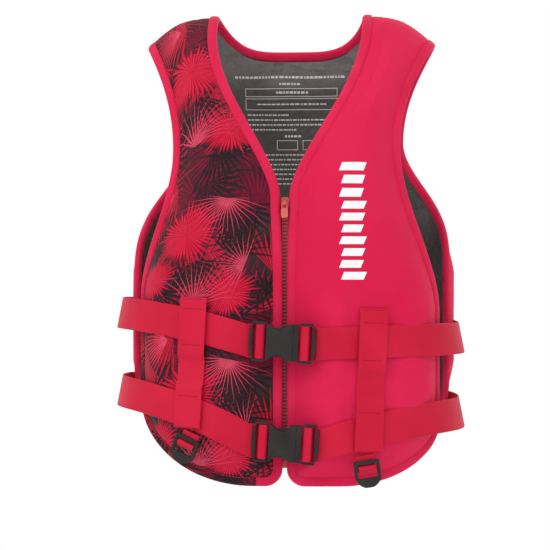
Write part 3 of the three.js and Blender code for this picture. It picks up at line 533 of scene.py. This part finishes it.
def teeth_plastic(tooth_pitch=0.004):
    """Moulded teeth whose tips catch the light, with shadow in the gaps between them."""
    shader = Shader("teeth_plastic", 0.35, specular=0.4)
    place = shader.place()
    tooth = shader.waves(shader.split(place)[2], tooth_pitch)
    uneven = shader.math("ADD", tooth, shader.math("MULTIPLY", shader.noise(place, 500, 2, 0.5), 0.4))
    colour = shader.mix(shader.range(uneven, -0.7, 0.7), "#A01434", "#F04C68")
    return shader.finish(colour, shader.bump(tooth, 0.0004, 0.8))


TEETH_PLASTIC = teeth_plastic()
PLAIN_CLOTH = cloth("plain_cloth", ("#D82349", "#E2305A"), mottling=7)
BINDING_CLOTH = cloth("binding_cloth", ("#D42448", "#E4325A"), pitch=0.8, mottling=16)
# the lining is painted lighter towards its top, a painted highlight near the neck
LINING_CLOTH = cloth("lining_cloth", ("#4C4A48", "#686462"), pitch=0.6, roughness=0.38, mottling=12,
                     creases=0.03, knit=0.00006, painted_top_highlight=(0.455, 0.5, "#8C8686"))
STRAP_CLOTH = webbing_cloth("strap_cloth", ("#C41B39", "#D42643"))
INK = cloth("ink", ("#D8D8D4", "#F2F2F0"), pitch=0.6, mottling=40)
LOGO_INK = cloth("logo_ink", ("#F4F2F2", "#FFFFFF"), pitch=0.9, mottling=30)
SEAM_THREAD = cloth("seam_thread", ("#A8142E", "#C02040"), pitch=0.4, mottling=60)
TAPE_CLOTH = webbing_cloth("zip_tape_cloth", ("#A8182F", "#C0203A"))
BUCKLE_PLASTIC = moulded("buckle_plastic", ("#242322", "#322F2E"), roughness=0.34)
ZIP_PLASTIC = moulded("zip_plastic", ("#D05450", "#E4746C"), roughness=0.35, grain=2500)
THREAD = cloth("thread", ("#C81E42", "#E03A60"), pitch=0.4, roughness=0.6, sheen=0.2, mottling=60)


# The printed cloth: fans of narrow leaflets over charcoal. Each fan is its heart's place across and up, turn,
# half spread, radius, number of leaflets and their width.
FAN_REPEAT = 184
MAROON_FANS = [
    (60, 20, 100, 150, 88, 44, 2.2), (130, 95, 200, 150, 84, 42, 2.2), (30, 130, 60, 140, 80, 44, 2.1),
    (95, 165, 280, 150, 76, 42, 2.2), (160, 40, 150, 120, 72, 40, 2.1),
]
RED_FANS = [
    (20, 168, 172, 75, 88, 50, 1.9), (104, 48, 75, 92, 74, 46, 2.0), (158, 30, 140, 120, 70, 44, 2.0),
    (122, 12, 350, 82, 66, 44, 2.0), (68, 60, 60, 80, 62, 40, 1.9), (16, 60, 140, 90, 66, 44, 1.7),
    (150, 172, 330, 100, 62, 44, 2.0), (40, 12, 95, 70, 64, 40, 1.9), (84, 100, 200, 80, 52, 38, 1.8),
]
DARK_FANS = [
    (52, 132, 268, 100, 62, 32, 2.2), (98, 88, 268, 75, 60, 30, 1.9), (36, 98, 20, 80, 62, 30, 1.9),
    (140, 66, 250, 80, 62, 30, 2.0), (58, 4, 85, 70, 58, 28, 2.0), (150, 130, 190, 80, 60, 30, 1.9),
    (20, 30, 40, 80, 56, 28, 1.8), (84, 176, 250, 80, 60, 30, 2.0), (74, 22, 230, 85, 66, 34, 1.8),
    (126, 58, 80, 80, 60, 32, 1.8), (60, 84, 120, 75, 56, 30, 1.7), (30, 52, 290, 80, 54, 30, 1.7),
]
BRIGHT_FANS = [
    (107, 124, 90, 180, 46, 46, 2.3), (62, 40, 80, 180, 36, 40, 1.9), (148, 84, 100, 180, 34, 40, 1.8),
]
FINE_FANS = [
    (62, 150, 292, 95, 60, 40, 0.5), (100, 40, 118, 75, 60, 40, 0.5), (128, 10, 352, 60, 52, 36, 0.45),
    (44, 70, 20, 90, 46, 36, 0.45),
]


def fan_group():
    """One fan: in UV, its centre, turn and spread give a mask of leaflets and a shade for each of them."""
    tree = bpy.data.node_groups.new("leaf_fan", "ShaderNodeTree")
    for way, kind, names in (("INPUT", "NodeSocketVector", ("place", "centre")),
                             ("INPUT", "NodeSocketFloat", ("turn", "spread", "radius", "count", "width")),
                             ("OUTPUT", "NodeSocketFloat", ("mask", "shade", "backing")),
                             ("OUTPUT", "NodeSocketVector", ("onward",))):
        for name in names:
            tree.interface.new_socket(name, in_out=way, socket_type=kind)
    nodes = Nodes(tree)
    calc = nodes.math
    given = nodes.node("NodeGroupInput").outputs
    result = nodes.node("NodeGroupOutput").inputs
    offset = nodes.node("ShaderNodeVectorMath", {0: given["place"], 1: given["centre"]}, operation="SUBTRACT")
    dx, dy, _ = nodes.split(offset.outputs[0])
    dy = calc("WRAP", dy, FAN_REPEAT / 2, -FAN_REPEAT / 2)
    radius = calc("SQRT", calc("ADD", calc("MULTIPLY", dx, dx), calc("MULTIPLY", dy, dy)))
    angle = calc("SUBTRACT", calc("ARCTAN2", dy, dx), given["turn"])
    angle = calc("WRAP", angle, math.pi, -math.pi)
    bend = calc("MULTIPLY", calc("SINE", calc("MULTIPLY", angle, 3.0)), 0.05)
    swayed = calc("ADD", angle, calc("MULTIPLY", bend, calc("DIVIDE", radius, given["radius"])))
    pitch = calc("DIVIDE", 2 * math.pi, given["count"])
    slot = calc("DIVIDE", swayed, pitch)
    number = calc("FLOOR", slot)
    beside = calc("SUBTRACT", calc("SUBTRACT", slot, number), 0.5)
    off = calc("ABSOLUTE", beside)
    lit = calc("MULTIPLY", calc("GREATER_THAN", beside, 0.0), 0.3)
    chance = nodes.node("ShaderNodeTexWhiteNoise", noise_dimensions="2D")
    pair = nodes.node("ShaderNodeCombineXYZ", {0: number, 1: given["count"]})
    nodes.give(chance.inputs["Vector"], pair.outputs[0])
    random = chance.outputs["Value"]
    reach = calc("MULTIPLY", given["radius"], calc("MULTIPLY_ADD", random, 0.38, 0.62))
    share = calc("DIVIDE", radius, reach)
    taper = calc("MAXIMUM", calc("SUBTRACT", 1.0, calc("POWER", share, 2.0)), 0.0)
    arc = calc("MULTIPLY", pitch, radius)
    width = calc("MINIMUM", calc("MULTIPLY", given["width"], taper), calc("MULTIPLY", arc, 0.37))
    sideways = calc("MULTIPLY", off, arc)
    inside = nodes.range(sideways, calc("SUBTRACT", width, 0.2), calc("ADD", width, 0.2), 1.0, 0.0)
    within = calc("LESS_THAN", share, 1.0)
    spread = calc("LESS_THAN", calc("ABSOLUTE", angle), given["spread"])
    mask = calc("MULTIPLY", inside, calc("MULTIPLY", within, spread))
    shade = calc("MULTIPLY_ADD", share, 0.4, calc("MULTIPLY_ADD", random, 0.35, lit))
    heart = nodes.range(calc("DIVIDE", radius, given["radius"]), 0.5, 0.75, 1.0, 0.0)
    backing = calc("MULTIPLY", spread, heart)
    # the place goes on with a trace of the mask in it, too small to be seen
    onward = nodes.node("ShaderNodeVectorMath", {0: mask, 1: (1e-5, 1e-5, 0), 2: given["place"]},
                        operation="MULTIPLY_ADD").outputs[0]
    for name, value in (("backing", backing), ("mask", mask), ("onward", onward), ("shade", shade)):
        nodes.give(result[name], value)
    return tree


def printed_cloth():
    shader = Shader("printed_cloth", 0.7, 0.03, 0.45, 0.15)
    uv, place = shader.place("UV"), shader.place()
    sized = shader.node("ShaderNodeVectorMath", {0: uv, "Scale": 1 / MM}, operation="SCALE").outputs[0]
    swirl = shader.node("ShaderNodeTexNoise", {"Scale": 0.03, "Vector": sized}).outputs["Color"]
    moved = shader.node("ShaderNodeVectorMath", {0: swirl, 1: (5, 5, 0), 2: sized}, operation="MULTIPLY_ADD")
    patches = shader.noise(place, 22, 3, 0.6)
    colour = shader.ramp(patches, [(0.35, "#3A3436"), (0.7, "#503A40")])
    group = fan_group()
    # fans, their colour near the heart and at the tips, and how strongly which colour lies behind them
    layers = ((MAROON_FANS, "#94203A", "#5E2232", 0.5, "#33262B"),
              (RED_FANS, "#E22C4B", "#9C1A32", 0.85, "#33262B"),
              (DARK_FANS, "#2A2528", "#3A2C32", 0.0, None),
              (BRIGHT_FANS, "#EE2E4E", "#CC1F3C", 0.9, "#7A1830"),
              (FINE_FANS, "#F05A76", "#D03A56", 0.0, None))
    # each fan hands its place on to the next, so that they are worked out one after another
    here = moved.outputs[0]
    for fans, near, far, backing, behind in layers:
        for across, up, turn, spread, radius, count, width in fans:
            values = {"place": here, "centre": (across, up, 0), "turn": math.radians(turn),
                      "spread": math.radians(spread), "radius": radius, "count": count, "width": width}
            fan = shader.node("ShaderNodeGroup", values, node_tree=group).outputs
            here = fan["onward"]
            if backing:
                colour = shader.mix(shader.math("MULTIPLY", fan["backing"], backing), colour, behind)
            tint = shader.mix(shader.range(fan["shade"], 0.1, 0.9), near, far)
            colour = shader.mix(fan["mask"], colour, tint)
    grain = shader.noise(place, 900, 2, 0.6)
    colour = shader.mix(shader.range(grain, 0.35, 0.75, 0.0, 0.12), colour, "#1E1415")
    normal = shader.bump(knit_height(shader, uv, 0.9), 0.00012, 0.5)
    return shader.finish(colour, shader.bump(grain, 0.0001, 0.35, normal))


PRINTED_CLOTH = printed_cloth()


def dress(piece, material, body="vest", replaces=()):
    piece.data.materials.clear()
    piece.data.materials.append(material)
    if replaces:
        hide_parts(*replaces)
    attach(piece, body)
    return piece


# ---------- edges of the panels
def front_edge(side):
    """The panel's edge, from the neck corner down, along the hem and up to the shoulder tip."""
    down = np.linspace(NECK_HEIGHT, INNER_CORNER, 260)
    heel = INNER_CORNER * (1 - np.cos(np.linspace(math.pi / 2, 0, 24)))
    corner = side["corner"][1] * (1 - np.cos(np.linspace(0, math.pi / 2, 50)))
    up = np.linspace(side["corner"][1], TIP_HEIGHT, 240)
    inner, outer = np.concatenate([down, heel]), np.concatenate([corner, up])
    x = np.concatenate([front_inner(inner), front_outer(side, outer)])
    return even(np.stack([x, np.concatenate([inner, outer])], axis=-1), EDGE_STEP)


def edge_frames(points, normals, middle):
    """The path along an edge with its outward, forward and inward directions."""
    along = unit(np.gradient(points, axis=0))
    inward = unit(np.cross(along, normals))
    if np.sum(inward * (middle - points)) < 0:
        inward = -inward
    return points, normals, along, inward


# the binding's section: inward from the edge and outward from the torso form
BINDING_PROFILE = [
    (11.2, 5.4), (11.0, 6.6), (10.2, 7.2), (8.0, 7.5), (5.0, 7.6), (2.6, 7.2), (1.0, 6.2), (0.1, 4.8),
    (-0.2, 3.2), (0.1, 1.5), (1.0, 0.2), (2.6, -0.7), (4.4, -1.0), (6.4, -1.1), (8.0, -1.0), (8.8, -0.6),
    (9.0, 0.4),
]


def bind_edge(name, frames, replaced, material=None):
    points, normals, along, inward = frames
    binding = sweep(name, points, inward, normals, BINDING_PROFILE)
    dress(binding, material or BINDING_CLOTH, replaces=replaced)
    if material:
        lay_print(binding)
    seam = points + inward * 9.3 + normals * 7.35
    stitches = dashes(name + "_stitches", seam, along, normals, length=2.7, radius=0.32, pitch=3.7)
    dress(stitches, THREAD)


def lay_print(piece):
    """Carries the panel's own print on over a piece of cloth at its edge."""
    mesh = piece.data
    for loop, spot in zip(mesh.loops, mesh.uv_layers["surface"].data):
        place = mesh.vertices[loop.vertex_index].co
        spot.uv = (abs(place.x), place.z)


def bind_printed_front(name, frames):
    """Bright binding at the neck, zip and armhole; along the hem and lower side the print is turned over."""
    x, z = np.abs(frames[0][:, 0]), frames[0][:, 2]
    hem = int(np.argmax((z < 12) & (x > 30)))
    side = int(len(z) - np.argmax(z[::-1] < 190))
    for part, low, high, material in (("edge", 0, hem + 1, None), ("hem", hem, side + 1, PRINTED_CLOTH),
                                      ("side", side, len(z), None)):
        piece = tuple(values[low:high] for values in frames)
        bind_edge(f"{name}_{part}_wrap", piece, (f"{name}_{part}_binding",), material)


def edge_distance(points, edges):
    """Distance of each grid point from the nearest edge point."""
    flat = points.reshape(-1, 3)
    nearest = np.full(len(flat), 1e9)
    for start in range(0, len(edges), 60):
        block = edges[start:start + 60]
        gaps = np.linalg.norm(flat[:, None, :] - block[None], axis=2)
        nearest = np.minimum(nearest, gaps.min(axis=1))
    return nearest.reshape(points.shape[:2])


def ripple(x, z, seed):
    """Slow unevenness of soft foam under cloth, in millimetres."""
    total = np.zeros(np.broadcast(x, z).shape)
    for index, (fx, fz, size) in enumerate(((0.021, 0.017, 0.6), (0.043, 0.031, 0.35), (0.013, 0.052, 0.4),
                                            (0.071, 0.058, 0.15))):
        total += size * np.sin(fx * x * 2 + seed * 1.7 + index) * np.sin(fz * z * 2 + seed * 2.3 - index)
    return total


# ---------- front panels
def panel_rows(top, low_rows, high_rows):
    """Heights of the rows for one column of a front panel, from the foot to its top."""
    low = np.linspace(PANEL_FOOT, CHEST_HEIGHT, low_rows)
    turn = np.linspace(0, 1, high_rows)[1:]
    high = CHEST_HEIGHT + (top - CHEST_HEIGHT) * np.sin(turn * math.pi / 2) ** (2 / FRONT["curl"])
    return np.concatenate([low, high])


def front_grid(side, inset, columns, low_rows, high_rows):
    shares = np.linspace(0, 1, columns)
    shares = lerp(shares, smooth(shares), 0.5)
    peaks = shoulder_height(lerp(NECK_HALF_WIDTH + inset, TIP_HALF_WIDTH - inset, shares))
    heights = np.stack([panel_rows(peak, low_rows, high_rows) for peak in peaks], axis=1)
    inner, outer = front_inner(heights), front_outer(side, heights)
    x = inner + inset + shares[None, :] * (outer - inner - 2 * inset)
    base = torso_point(FRONT, side["sign"] * x, heights)
    return x, heights, base, torso_normal(FRONT, side["sign"] * x, heights)


def meet_at_shoulder(base, face):
    """The front and back are sewn together over the shoulder, so the last row goes just past the seam."""
    base[-1, :, 1] -= face["sign"] * 0.6


def surface_uv(x, base):
    """Lengths along the rows and up the columns, so that a print isn't stretched."""
    wide = np.cumsum(np.linalg.norm(np.diff(base, axis=1), axis=2), axis=1)
    tall = np.cumsum(np.linalg.norm(np.diff(base, axis=0), axis=2), axis=0)
    across = np.concatenate([x[:, :1], x[:, :1] + wide], axis=1)
    up = np.concatenate([base[:1, :, 2], base[0, :, 2] + tall])
    return np.stack([across, up], axis=-1)


def keeper_cover(sign, x, z):
    """1 under the strap that holds the belts to the front panel, 0 away from it."""
    _, _, top, bottom = KEEPERS["belt_keeper_printed" if sign < 0 else "belt_keeper_plain"]
    climb = np.clip((z - bottom[1]) / (top[1] - bottom[1]), 0, 1)
    middle = lerp(bottom[0], top[0], climb)
    margin, fade, past_end, end_fade = 3, 14, 4, 16
    beside = 1 - smooth((np.abs(x - middle) - KEEPER_WIDTH / 2 - margin) / fade)
    below_top = 1 - smooth((z - top[1] - past_end) / end_fade)
    above_bottom = 1 - smooth((bottom[1] - past_end - z) / end_fade)
    return beside * below_top * above_bottom


def ridge(distance, height, width, power=2):
    return height * np.exp(-(distance / width) ** power)


def padding(x, z, from_edge, thickness):
    """The foam's depth, thin at the shoulder and at the binding, and its rise from the binding, 0 to 1."""
    full = lerp(SHOULDER_THICKNESS, thickness, smooth((shoulder_height(x) - z) / 120))
    rise = np.sin(np.clip((from_edge - UNDER_BINDING) / EDGE_ROUND, 0, 1) * math.pi / 2)
    return EDGE_THICKNESS + (full - EDGE_THICKNESS) * rise, rise


def tucked(from_edge):
    """How far the cloth dips where it goes under the binding."""
    return 1.5 * (1 - np.minimum(1, (from_edge / 9) ** 2))


def front_swell(side, x, z, from_edge, from_vee):
    """How far the cloth stands out from the torso form."""
    swell, rise = padding(x, z, from_edge, FRONT_CROWN)
    gap = nearest_belt(side["sign"], x, z)
    bulge = ridge(gap - BELT_BULGE_AT, height=2.4, width=14)
    pressed = ridge(gap, height=0.6, width=20, power=4)
    seam = ridge(from_vee - SEAM_AT, height=0.9, width=1.8)
    strapped = keeper_cover(side["sign"], x, z)
    uneven = 0.6 * ripple(x, z, side["sign"] + 2)
    swell = swell + rise * ((bulge + pressed) * (1 - strapped) + uneven) - seam
    return np.where(strapped > 0, swell - strapped * np.maximum(swell - FRONT_THICKNESS + 0.5, 0), swell)


def front_depth(side, x, z, base, edge_points):
    from_edge = edge_distance(base, edge_points)
    vee = edge_points[:np.argmax(edge_points[:, 2] < CHEST_HEIGHT)]
    return front_swell(side, x, z, from_edge, edge_distance(base, vee)) - tucked(from_edge)


def make_front(side, name, material):
    x, z = (front_edge(side) * [side["sign"], 1]).T
    middle = torso_point(FRONT, side["sign"] * 85, 200)
    frames = edge_frames(torso_point(FRONT, x, z), torso_normal(FRONT, x, z), middle)
    x, z, base, normal = front_grid(side, UNDER_BINDING - 1, columns=64, low_rows=120, high_rows=62)
    meet_at_shoulder(base, FRONT)
    outer = base + normal * front_depth(side, x, z, base, frames[0])[..., None]
    panel = slab(name + "_panel", outer, base + normal * FOAM_BACK, surface_uv(x, base))
    dress(panel, material, replaces=(name + "_shell", name + "_foam"))
    x, z, base, normal = front_grid(side, UNDER_BINDING, columns=36, low_rows=60, high_rows=34)
    wearer_side = base + normal * (0.1 + 0.25 * ripple(x, z, 5))[..., None]
    lining = slab(name + "_inside", base + normal * LINING_FACE, wearer_side, surface_uv(x, base))
    dress(lining, LINING_CLOTH, replaces=(name + "_lining",))
    if side is PRINTED:
        bind_printed_front(name, frames)
    else:
        bind_edge(name + "_wrap", frames, [f"{name}_{part}_binding" for part in ("edge", "side", "hem")])
    return frames[0]


make_front(PRINTED, "printed_front", PRINTED_CLOTH)
plain_edge = make_front(PLAIN, "plain_front", PLAIN_CLOTH)


# ---------- back panel
def lining_depth(x, z):
    """The lining of the back stands off the foam in shallow folds."""
    folds = 0.55 * np.sin(x * 0.09 + z * 0.05 + 1.3 * np.sin(z * 0.03)) * np.sin(z * 0.021 + 1)
    return 0.1 + 0.5 * ripple(x, z, 3) + folds


def back_grid(inset, drop, columns, low_rows, high_rows):
    """Columns by their share of the way round to the panel's edge; the middle ones stop at the neckline."""
    shares = np.linspace(-1, 1, columns)
    tip = side_angle(TIP_HALF_WIDTH) - inset / (TORSO_HALF_WIDTH * 0.62)
    top_x = side_place(np.abs(shares) * tip)
    peak = shoulder_height(top_x)
    within = np.clip((NECK_HALF_WIDTH + drop - top_x) / drop, 0, 1)
    below_neck = np.minimum(neckline(top_x) - drop * within ** 0.5, peak)
    top = np.where(top_x < NECK_HALF_WIDTH + drop, below_neck, peak)
    rows = []
    for index in range(columns):
        share = (top[index] - CHEST_HEIGHT) / (peak[index] - CHEST_HEIGHT)
        full = math.asin(min(1.0, share) ** (BACK["curl"] / 2))
        low = np.linspace(PANEL_FOOT, CHEST_HEIGHT, low_rows)
        turn = np.linspace(0, 1, high_rows)[1:]
        high = CHEST_HEIGHT + (peak[index] - CHEST_HEIGHT) * np.sin(turn * full) ** (2 / BACK["curl"])
        rows.append(np.concatenate([low, high]))
    z = np.stack(rows, axis=1)
    reach = back_edge_angle(z) - inset / (TORSO_HALF_WIDTH * 0.62)
    x = np.sign(shares)[None, :] * side_place(np.abs(shares)[None, :] * reach)
    return x, z, torso_point(BACK, x, z), torso_normal(BACK, x, z)


def wing_edge():
    low = np.linspace(0, math.pi / 2, 40)
    corner = WING_CORNER_HEIGHT * (1 - np.cos(low))
    up = np.linspace(WING_CORNER_HEIGHT, TIP_HEIGHT, 260)
    z = np.concatenate([corner, up])
    return np.stack([side_place(back_edge_angle(z)), z], axis=-1)


def back_edge():
    """From one shoulder tip down the side, along the hem and up to the other shoulder tip."""
    right = wing_edge()
    left = right * [-1, 1]
    hem = np.stack([np.linspace(left[0, 0], right[0, 0], 120), np.zeros(120)], axis=-1)
    return np.concatenate([left[::-1], hem[1:-1], right])


def back_frames(path, middle):
    points = torso_point(BACK, path[:, 0], path[:, 1])
    points = even(points, EDGE_STEP)
    x, z = np.clip(points[:, 0], -TORSO_HALF_WIDTH, TORSO_HALF_WIDTH), points[:, 2]
    normals = torso_normal(BACK, x, z)
    return edge_frames(points, normals, middle)


def make_back():
    middle = np.array([0.0, 110.0, 250.0])
    outside = back_frames(back_edge(), middle)
    across = np.linspace(-NECK_HALF_WIDTH, NECK_HALF_WIDTH, 160)
    neck_path = np.stack([across, neckline(across)], axis=-1)
    neck = back_frames(neck_path, middle)
    edges = np.concatenate([outside[0], neck[0]])
    x, z, base, normal = back_grid(UNDER_BINDING - 1, drop=8, columns=121, low_rows=110, high_rows=62)
    meet_at_shoulder(base, BACK)
    from_edge = edge_distance(base, edges)
    swell, rise = padding(x, z, from_edge, BACK_CROWN)
    fold = ridge(z - BACK_FOLD, height=1.6, width=4.5)
    depth = swell + rise * (0.6 * ripple(x, z, 9) - fold) - tucked(from_edge)
    outer = base + normal * depth[..., None]
    panel = slab("back_panel", outer, base + normal * FOAM_BACK, surface_uv(x, base))
    dress(panel, PLAIN_CLOTH, replaces=("back_shell", "back_foam_lower", "back_foam_upper"))
    x, z, base, normal = back_grid(UNDER_BINDING, drop=9, columns=91, low_rows=70, high_rows=44)
    wearer_side = base + normal * lining_depth(x, z)[..., None]
    lining = slab("back_inside", base + normal * LINING_FACE, wearer_side, surface_uv(x, base))
    dress(lining, LINING_CLOTH, replaces=("back_lining",))
    bind_edge("back_binding", outside,
              ("back_side_binding_printed", "back_side_binding_plain", "back_hem_binding"))
    bind_edge("back_neck_edge", neck, ("back_neck_binding",))


make_back()


# ---------- marks printed on the cloth, all of them generic
def printed_marks(name, rectangles, place, height, material):
    """Thin flat marks, each (left, right, low, high, slant); place gives the cloth's points and normals."""
    points, faces = [], []
    for left, right, low, high, slant in rectangles:
        columns = max(2, int((right - left) / 3) + 1)
        across = np.linspace(left, right, columns)
        faces += slab_faces(2, columns, len(points))
        for depth in (height, 0):
            for z, shift in ((low, 0), (high, slant)):
                spot, normal = place(across + shift, np.full(columns, z))
                points.extend(spot + normal * depth)
    points = np.array(points)
    dress(make_object(name, points, faces, points[:, [0, 2]], sharp=True), material)


def inside_back(x, z):
    normal = torso_normal(BACK, x, z)
    return torso_point(BACK, x, z) + normal * lining_depth(x, z)[..., None], -normal


def words(left, right, z, tall, seed):
    """A line of blank word shapes."""
    chance = np.random.default_rng(seed)
    marks, x = [], left
    while x < right - 3:
        width = min(chance.uniform(1.6, 5.5), right - x)
        marks.append((x, x + width, z - tall / 2, z + tall / 2, 0))
        x += width + chance.uniform(0.9, 1.5)
    return marks


def blank_box(left, right, low, high, line=0.7):
    return [(left, right, high - line, high, 0), (left, right, low, low + line, 0),
            (left, left + line, low, high, 0), (right - line, right, low, high, 0)]


def back_label():
    marks = words(-74, 62, 482, 2.6, 1) + words(-20, 8, 474, 2.4, 2)
    marks += blank_box(-62, 52, 459, 469) + words(-24, 16, 464, 2.6, 3)
    marks += blank_box(-62, 52, 443, 457) + words(-48, 38, 450, 1.6, 4)
    for index, z in enumerate((437, 431, 425, 419)):
        marks += words(-60, (-8, 52, 40, 2)[index], z, 1.6, 5 + index)
    marks += words(-14, 6, 411, 2.4, 12)
    marks += blank_box(-24, 2, 394, 406) + blank_box(8, 30, 394, 406)
    for index, z in enumerate((388, 382, 376, 370, 364, 358, 352)):
        marks += words(-46 + index * 2.5, 42 - index * 3, z, 1.5, 20 + index)
    printed_marks("back_label", marks, inside_back, 0.2, INK)


back_label()


def on_plain_front(x, z):
    """The cloth surface of the plain panel and its outward direction."""
    base, normal = torso_point(FRONT, x, z), torso_normal(FRONT, x, z)
    depth = front_depth(PLAIN, x[None], z[None], base[None], plain_edge)[0]
    return base + normal * (depth - 0.1)[:, None], normal


BARS_TOP, BARS_PITCH = 356, 13.2


def slanted_bars():
    """A plain column of slanted bars in place of a name."""
    marks = []
    for index in range(10):
        z = BARS_TOP - index * BARS_PITCH
        marks.append((59 + (index % 2) * 2, 84 - (index % 3) * 1.5, z - 4.3, z + 4.3, 3.2))
    printed_marks("slanted_bars", marks, on_plain_front, 0.3, LOGO_INK)


slanted_bars()


# ---------- belts
def ribbon(name, middle, across, outward, width=BELT_WIDTH, thickness=WEBBING_THICKNESS):
    return sweep(name, middle, across, outward, tape_profile(width, thickness))


# distances from the middle of the front: the ends of the run round the body and of the front stretch, both
# hidden under the keeper, and the place where the stretch has left the buckle's tilt
RUN_END, STRETCH_END, BUCKLE_BEND = 96, 104, 77


def make_belt(belt):
    name = belt["name"]
    angles = np.linspace(ring_angle(RUN_END), math.pi, 90)
    left = belt_frame(belt, -1, angles, np.zeros(90))
    right = belt_frame(belt, 1, angles[:-1][::-1], np.zeros(89))
    middle, across, outward = (np.concatenate(pair) for pair in zip(left, right))
    run = ribbon(name + "_belt", middle, across, outward)
    dress(run, STRAP_CLOTH, replaces=(name + "_belt_run",))
    for sign, key, half in ((-1, "printed", "socket"), (1, "plain", "plug")):
        start = tie_at(belt, sign) - 4
        angles = np.linspace(ring_angle(start), ring_angle(STRETCH_END), 32)
        x, _ = belt_ring(angles)
        level = 1 - smooth((x - start) / (BUCKLE_BEND - start))
        middle, across, outward = belt_frame(belt, sign, angles, level)
        lift = 1.9 * smooth((x - 70) / 16)
        stretch = ribbon(f"{name}_belt_front_{key}", middle - outward * lift[:, None], across, outward)
        dress_blend(stretch, belt, key)


def dress_blend(stretch, belt, key):
    stretch.data.materials.append(STRAP_CLOTH)
    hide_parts(f"{belt['name']}_belt_stretch_{key}")
    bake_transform(stretch)


for belt in BELTS:
    make_belt(belt)


def make_keeper(name):
    face, sign, top, bottom = KEEPERS[name]
    z = np.linspace(bottom[1], top[1], 70)
    x = lerp(bottom[0], top[0], (z - bottom[1]) / (top[1] - bottom[1]))
    angle = np.array([ring_angle(v) for v in x])
    if face is BACK:
        angle = math.pi - angle
    lift = np.zeros(len(z))
    for belt in BELTS:
        off = np.abs(z - belt_height(belt, sign, angle)) - FRAME_BELT_WIDTH / 2 - 10
        lift = np.maximum(lift, KEEPER_LIFT * (1 - smooth(off / 12)))
    normals = torso_normal(face, sign * x, z)
    middle = torso_point(face, sign * x, z) + normals * (FRONT_THICKNESS + KEEPER_STAND_OFF + lift)[:, None]
    along = unit(np.array([sign * (top[0] - bottom[0]), 0.0, top[1] - bottom[1]]))
    across = unit(np.cross(np.broadcast_to(along, normals.shape), normals))
    keeper = ribbon(name + "_strap", middle, across, normals, KEEPER_WIDTH)
    dress(keeper, STRAP_CLOTH, replaces=(name,))
    beside = BELT_WIDTH / 2 + 3
    rows = [belt_height(belt, sign, angle) + step for belt in BELTS for step in (-beside, beside)]
    for number, row in enumerate(rows + [np.full(len(z), top[1] - 3.0)]):
        at = int(np.argmin(np.abs(z - row)))
        side_steps = np.linspace(-KEEPER_WIDTH / 2 + 2, KEEPER_WIDTH / 2 - 2, 20)
        line = middle[at] + across[at] * side_steps[:, None] + normals[at] * (WEBBING_THICKNESS / 2)
        facing, forward = (np.broadcast_to(way[at], line.shape) for way in (normals, across))
        stitches = dashes(f"{name}_stitches_{number}", line, forward, facing, length=2.4, radius=0.4, pitch=3)
        dress(stitches, SEAM_THREAD)


for keeper_name in KEEPERS:
    make_keeper(keeper_name)


# ---------- rigid fittings: the frame's shapes, softened at their edges
def soften(node, width, material):
    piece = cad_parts[node]
    bevel = piece.modifiers.new("edges", "BEVEL")
    bevel.width = width * MM
    bevel.segments = 3
    bevel.limit_method = "ANGLE"
    bevel.angle_limit = math.radians(35)
    for material_slot in piece.material_slots:
        material_slot.material = material


for level in ("upper", "lower"):
    for part in ("socket", "plug"):
        soften(f"{level}_buckle_{part}", 1.6, BUCKLE_PLASTIC)
    for part in ("top", "bottom"):
        soften(f"{level}_prong_{part}", 0.6, BUCKLE_PLASTIC)
    for key in ("printed", "plain"):
        soften(f"{level}_belt_loop_{key}", 0.3, STRAP_CLOTH)
for key in ("printed", "plain"):
    soften("adjuster_" + key, 0.7, BUCKLE_PLASTIC)
    soften("adjuster_webbing_" + key, 0.2, STRAP_CLOTH)
    soften("zip_teeth_" + key, 0.25, TEETH_PLASTIC)
    soften("zip_tape_" + key, 0.1, TAPE_CLOTH)
for node in ("zip_bottom_box", "zip_slider", "zip_pull"):
    soften(node, 0.35, ZIP_PLASTIC)

# ---------- floor
floor_shader = Shader("floor", 0.9)
floor_tone = floor_shader.noise(floor_shader.place(), 3, 3, 0.5)
FLOOR_MATERIAL = floor_shader.finish(floor_shader.ramp(floor_tone, [(0.3, "#F6F6F6"), (0.7, "#FAFAFA")]))
FLOOR_RADIUS, FLOOR_LEVEL = 1080, -260
rim = [(FLOOR_RADIUS * math.cos(turn), FLOOR_RADIUS * math.sin(turn), FLOOR_LEVEL)
       for turn in np.linspace(0, 2 * math.pi, 97)[:-1]]
floor = make_object("floor", rim, [tuple(range(len(rim)))], sharp=True)
floor.data.materials.append(FLOOR_MATERIAL)
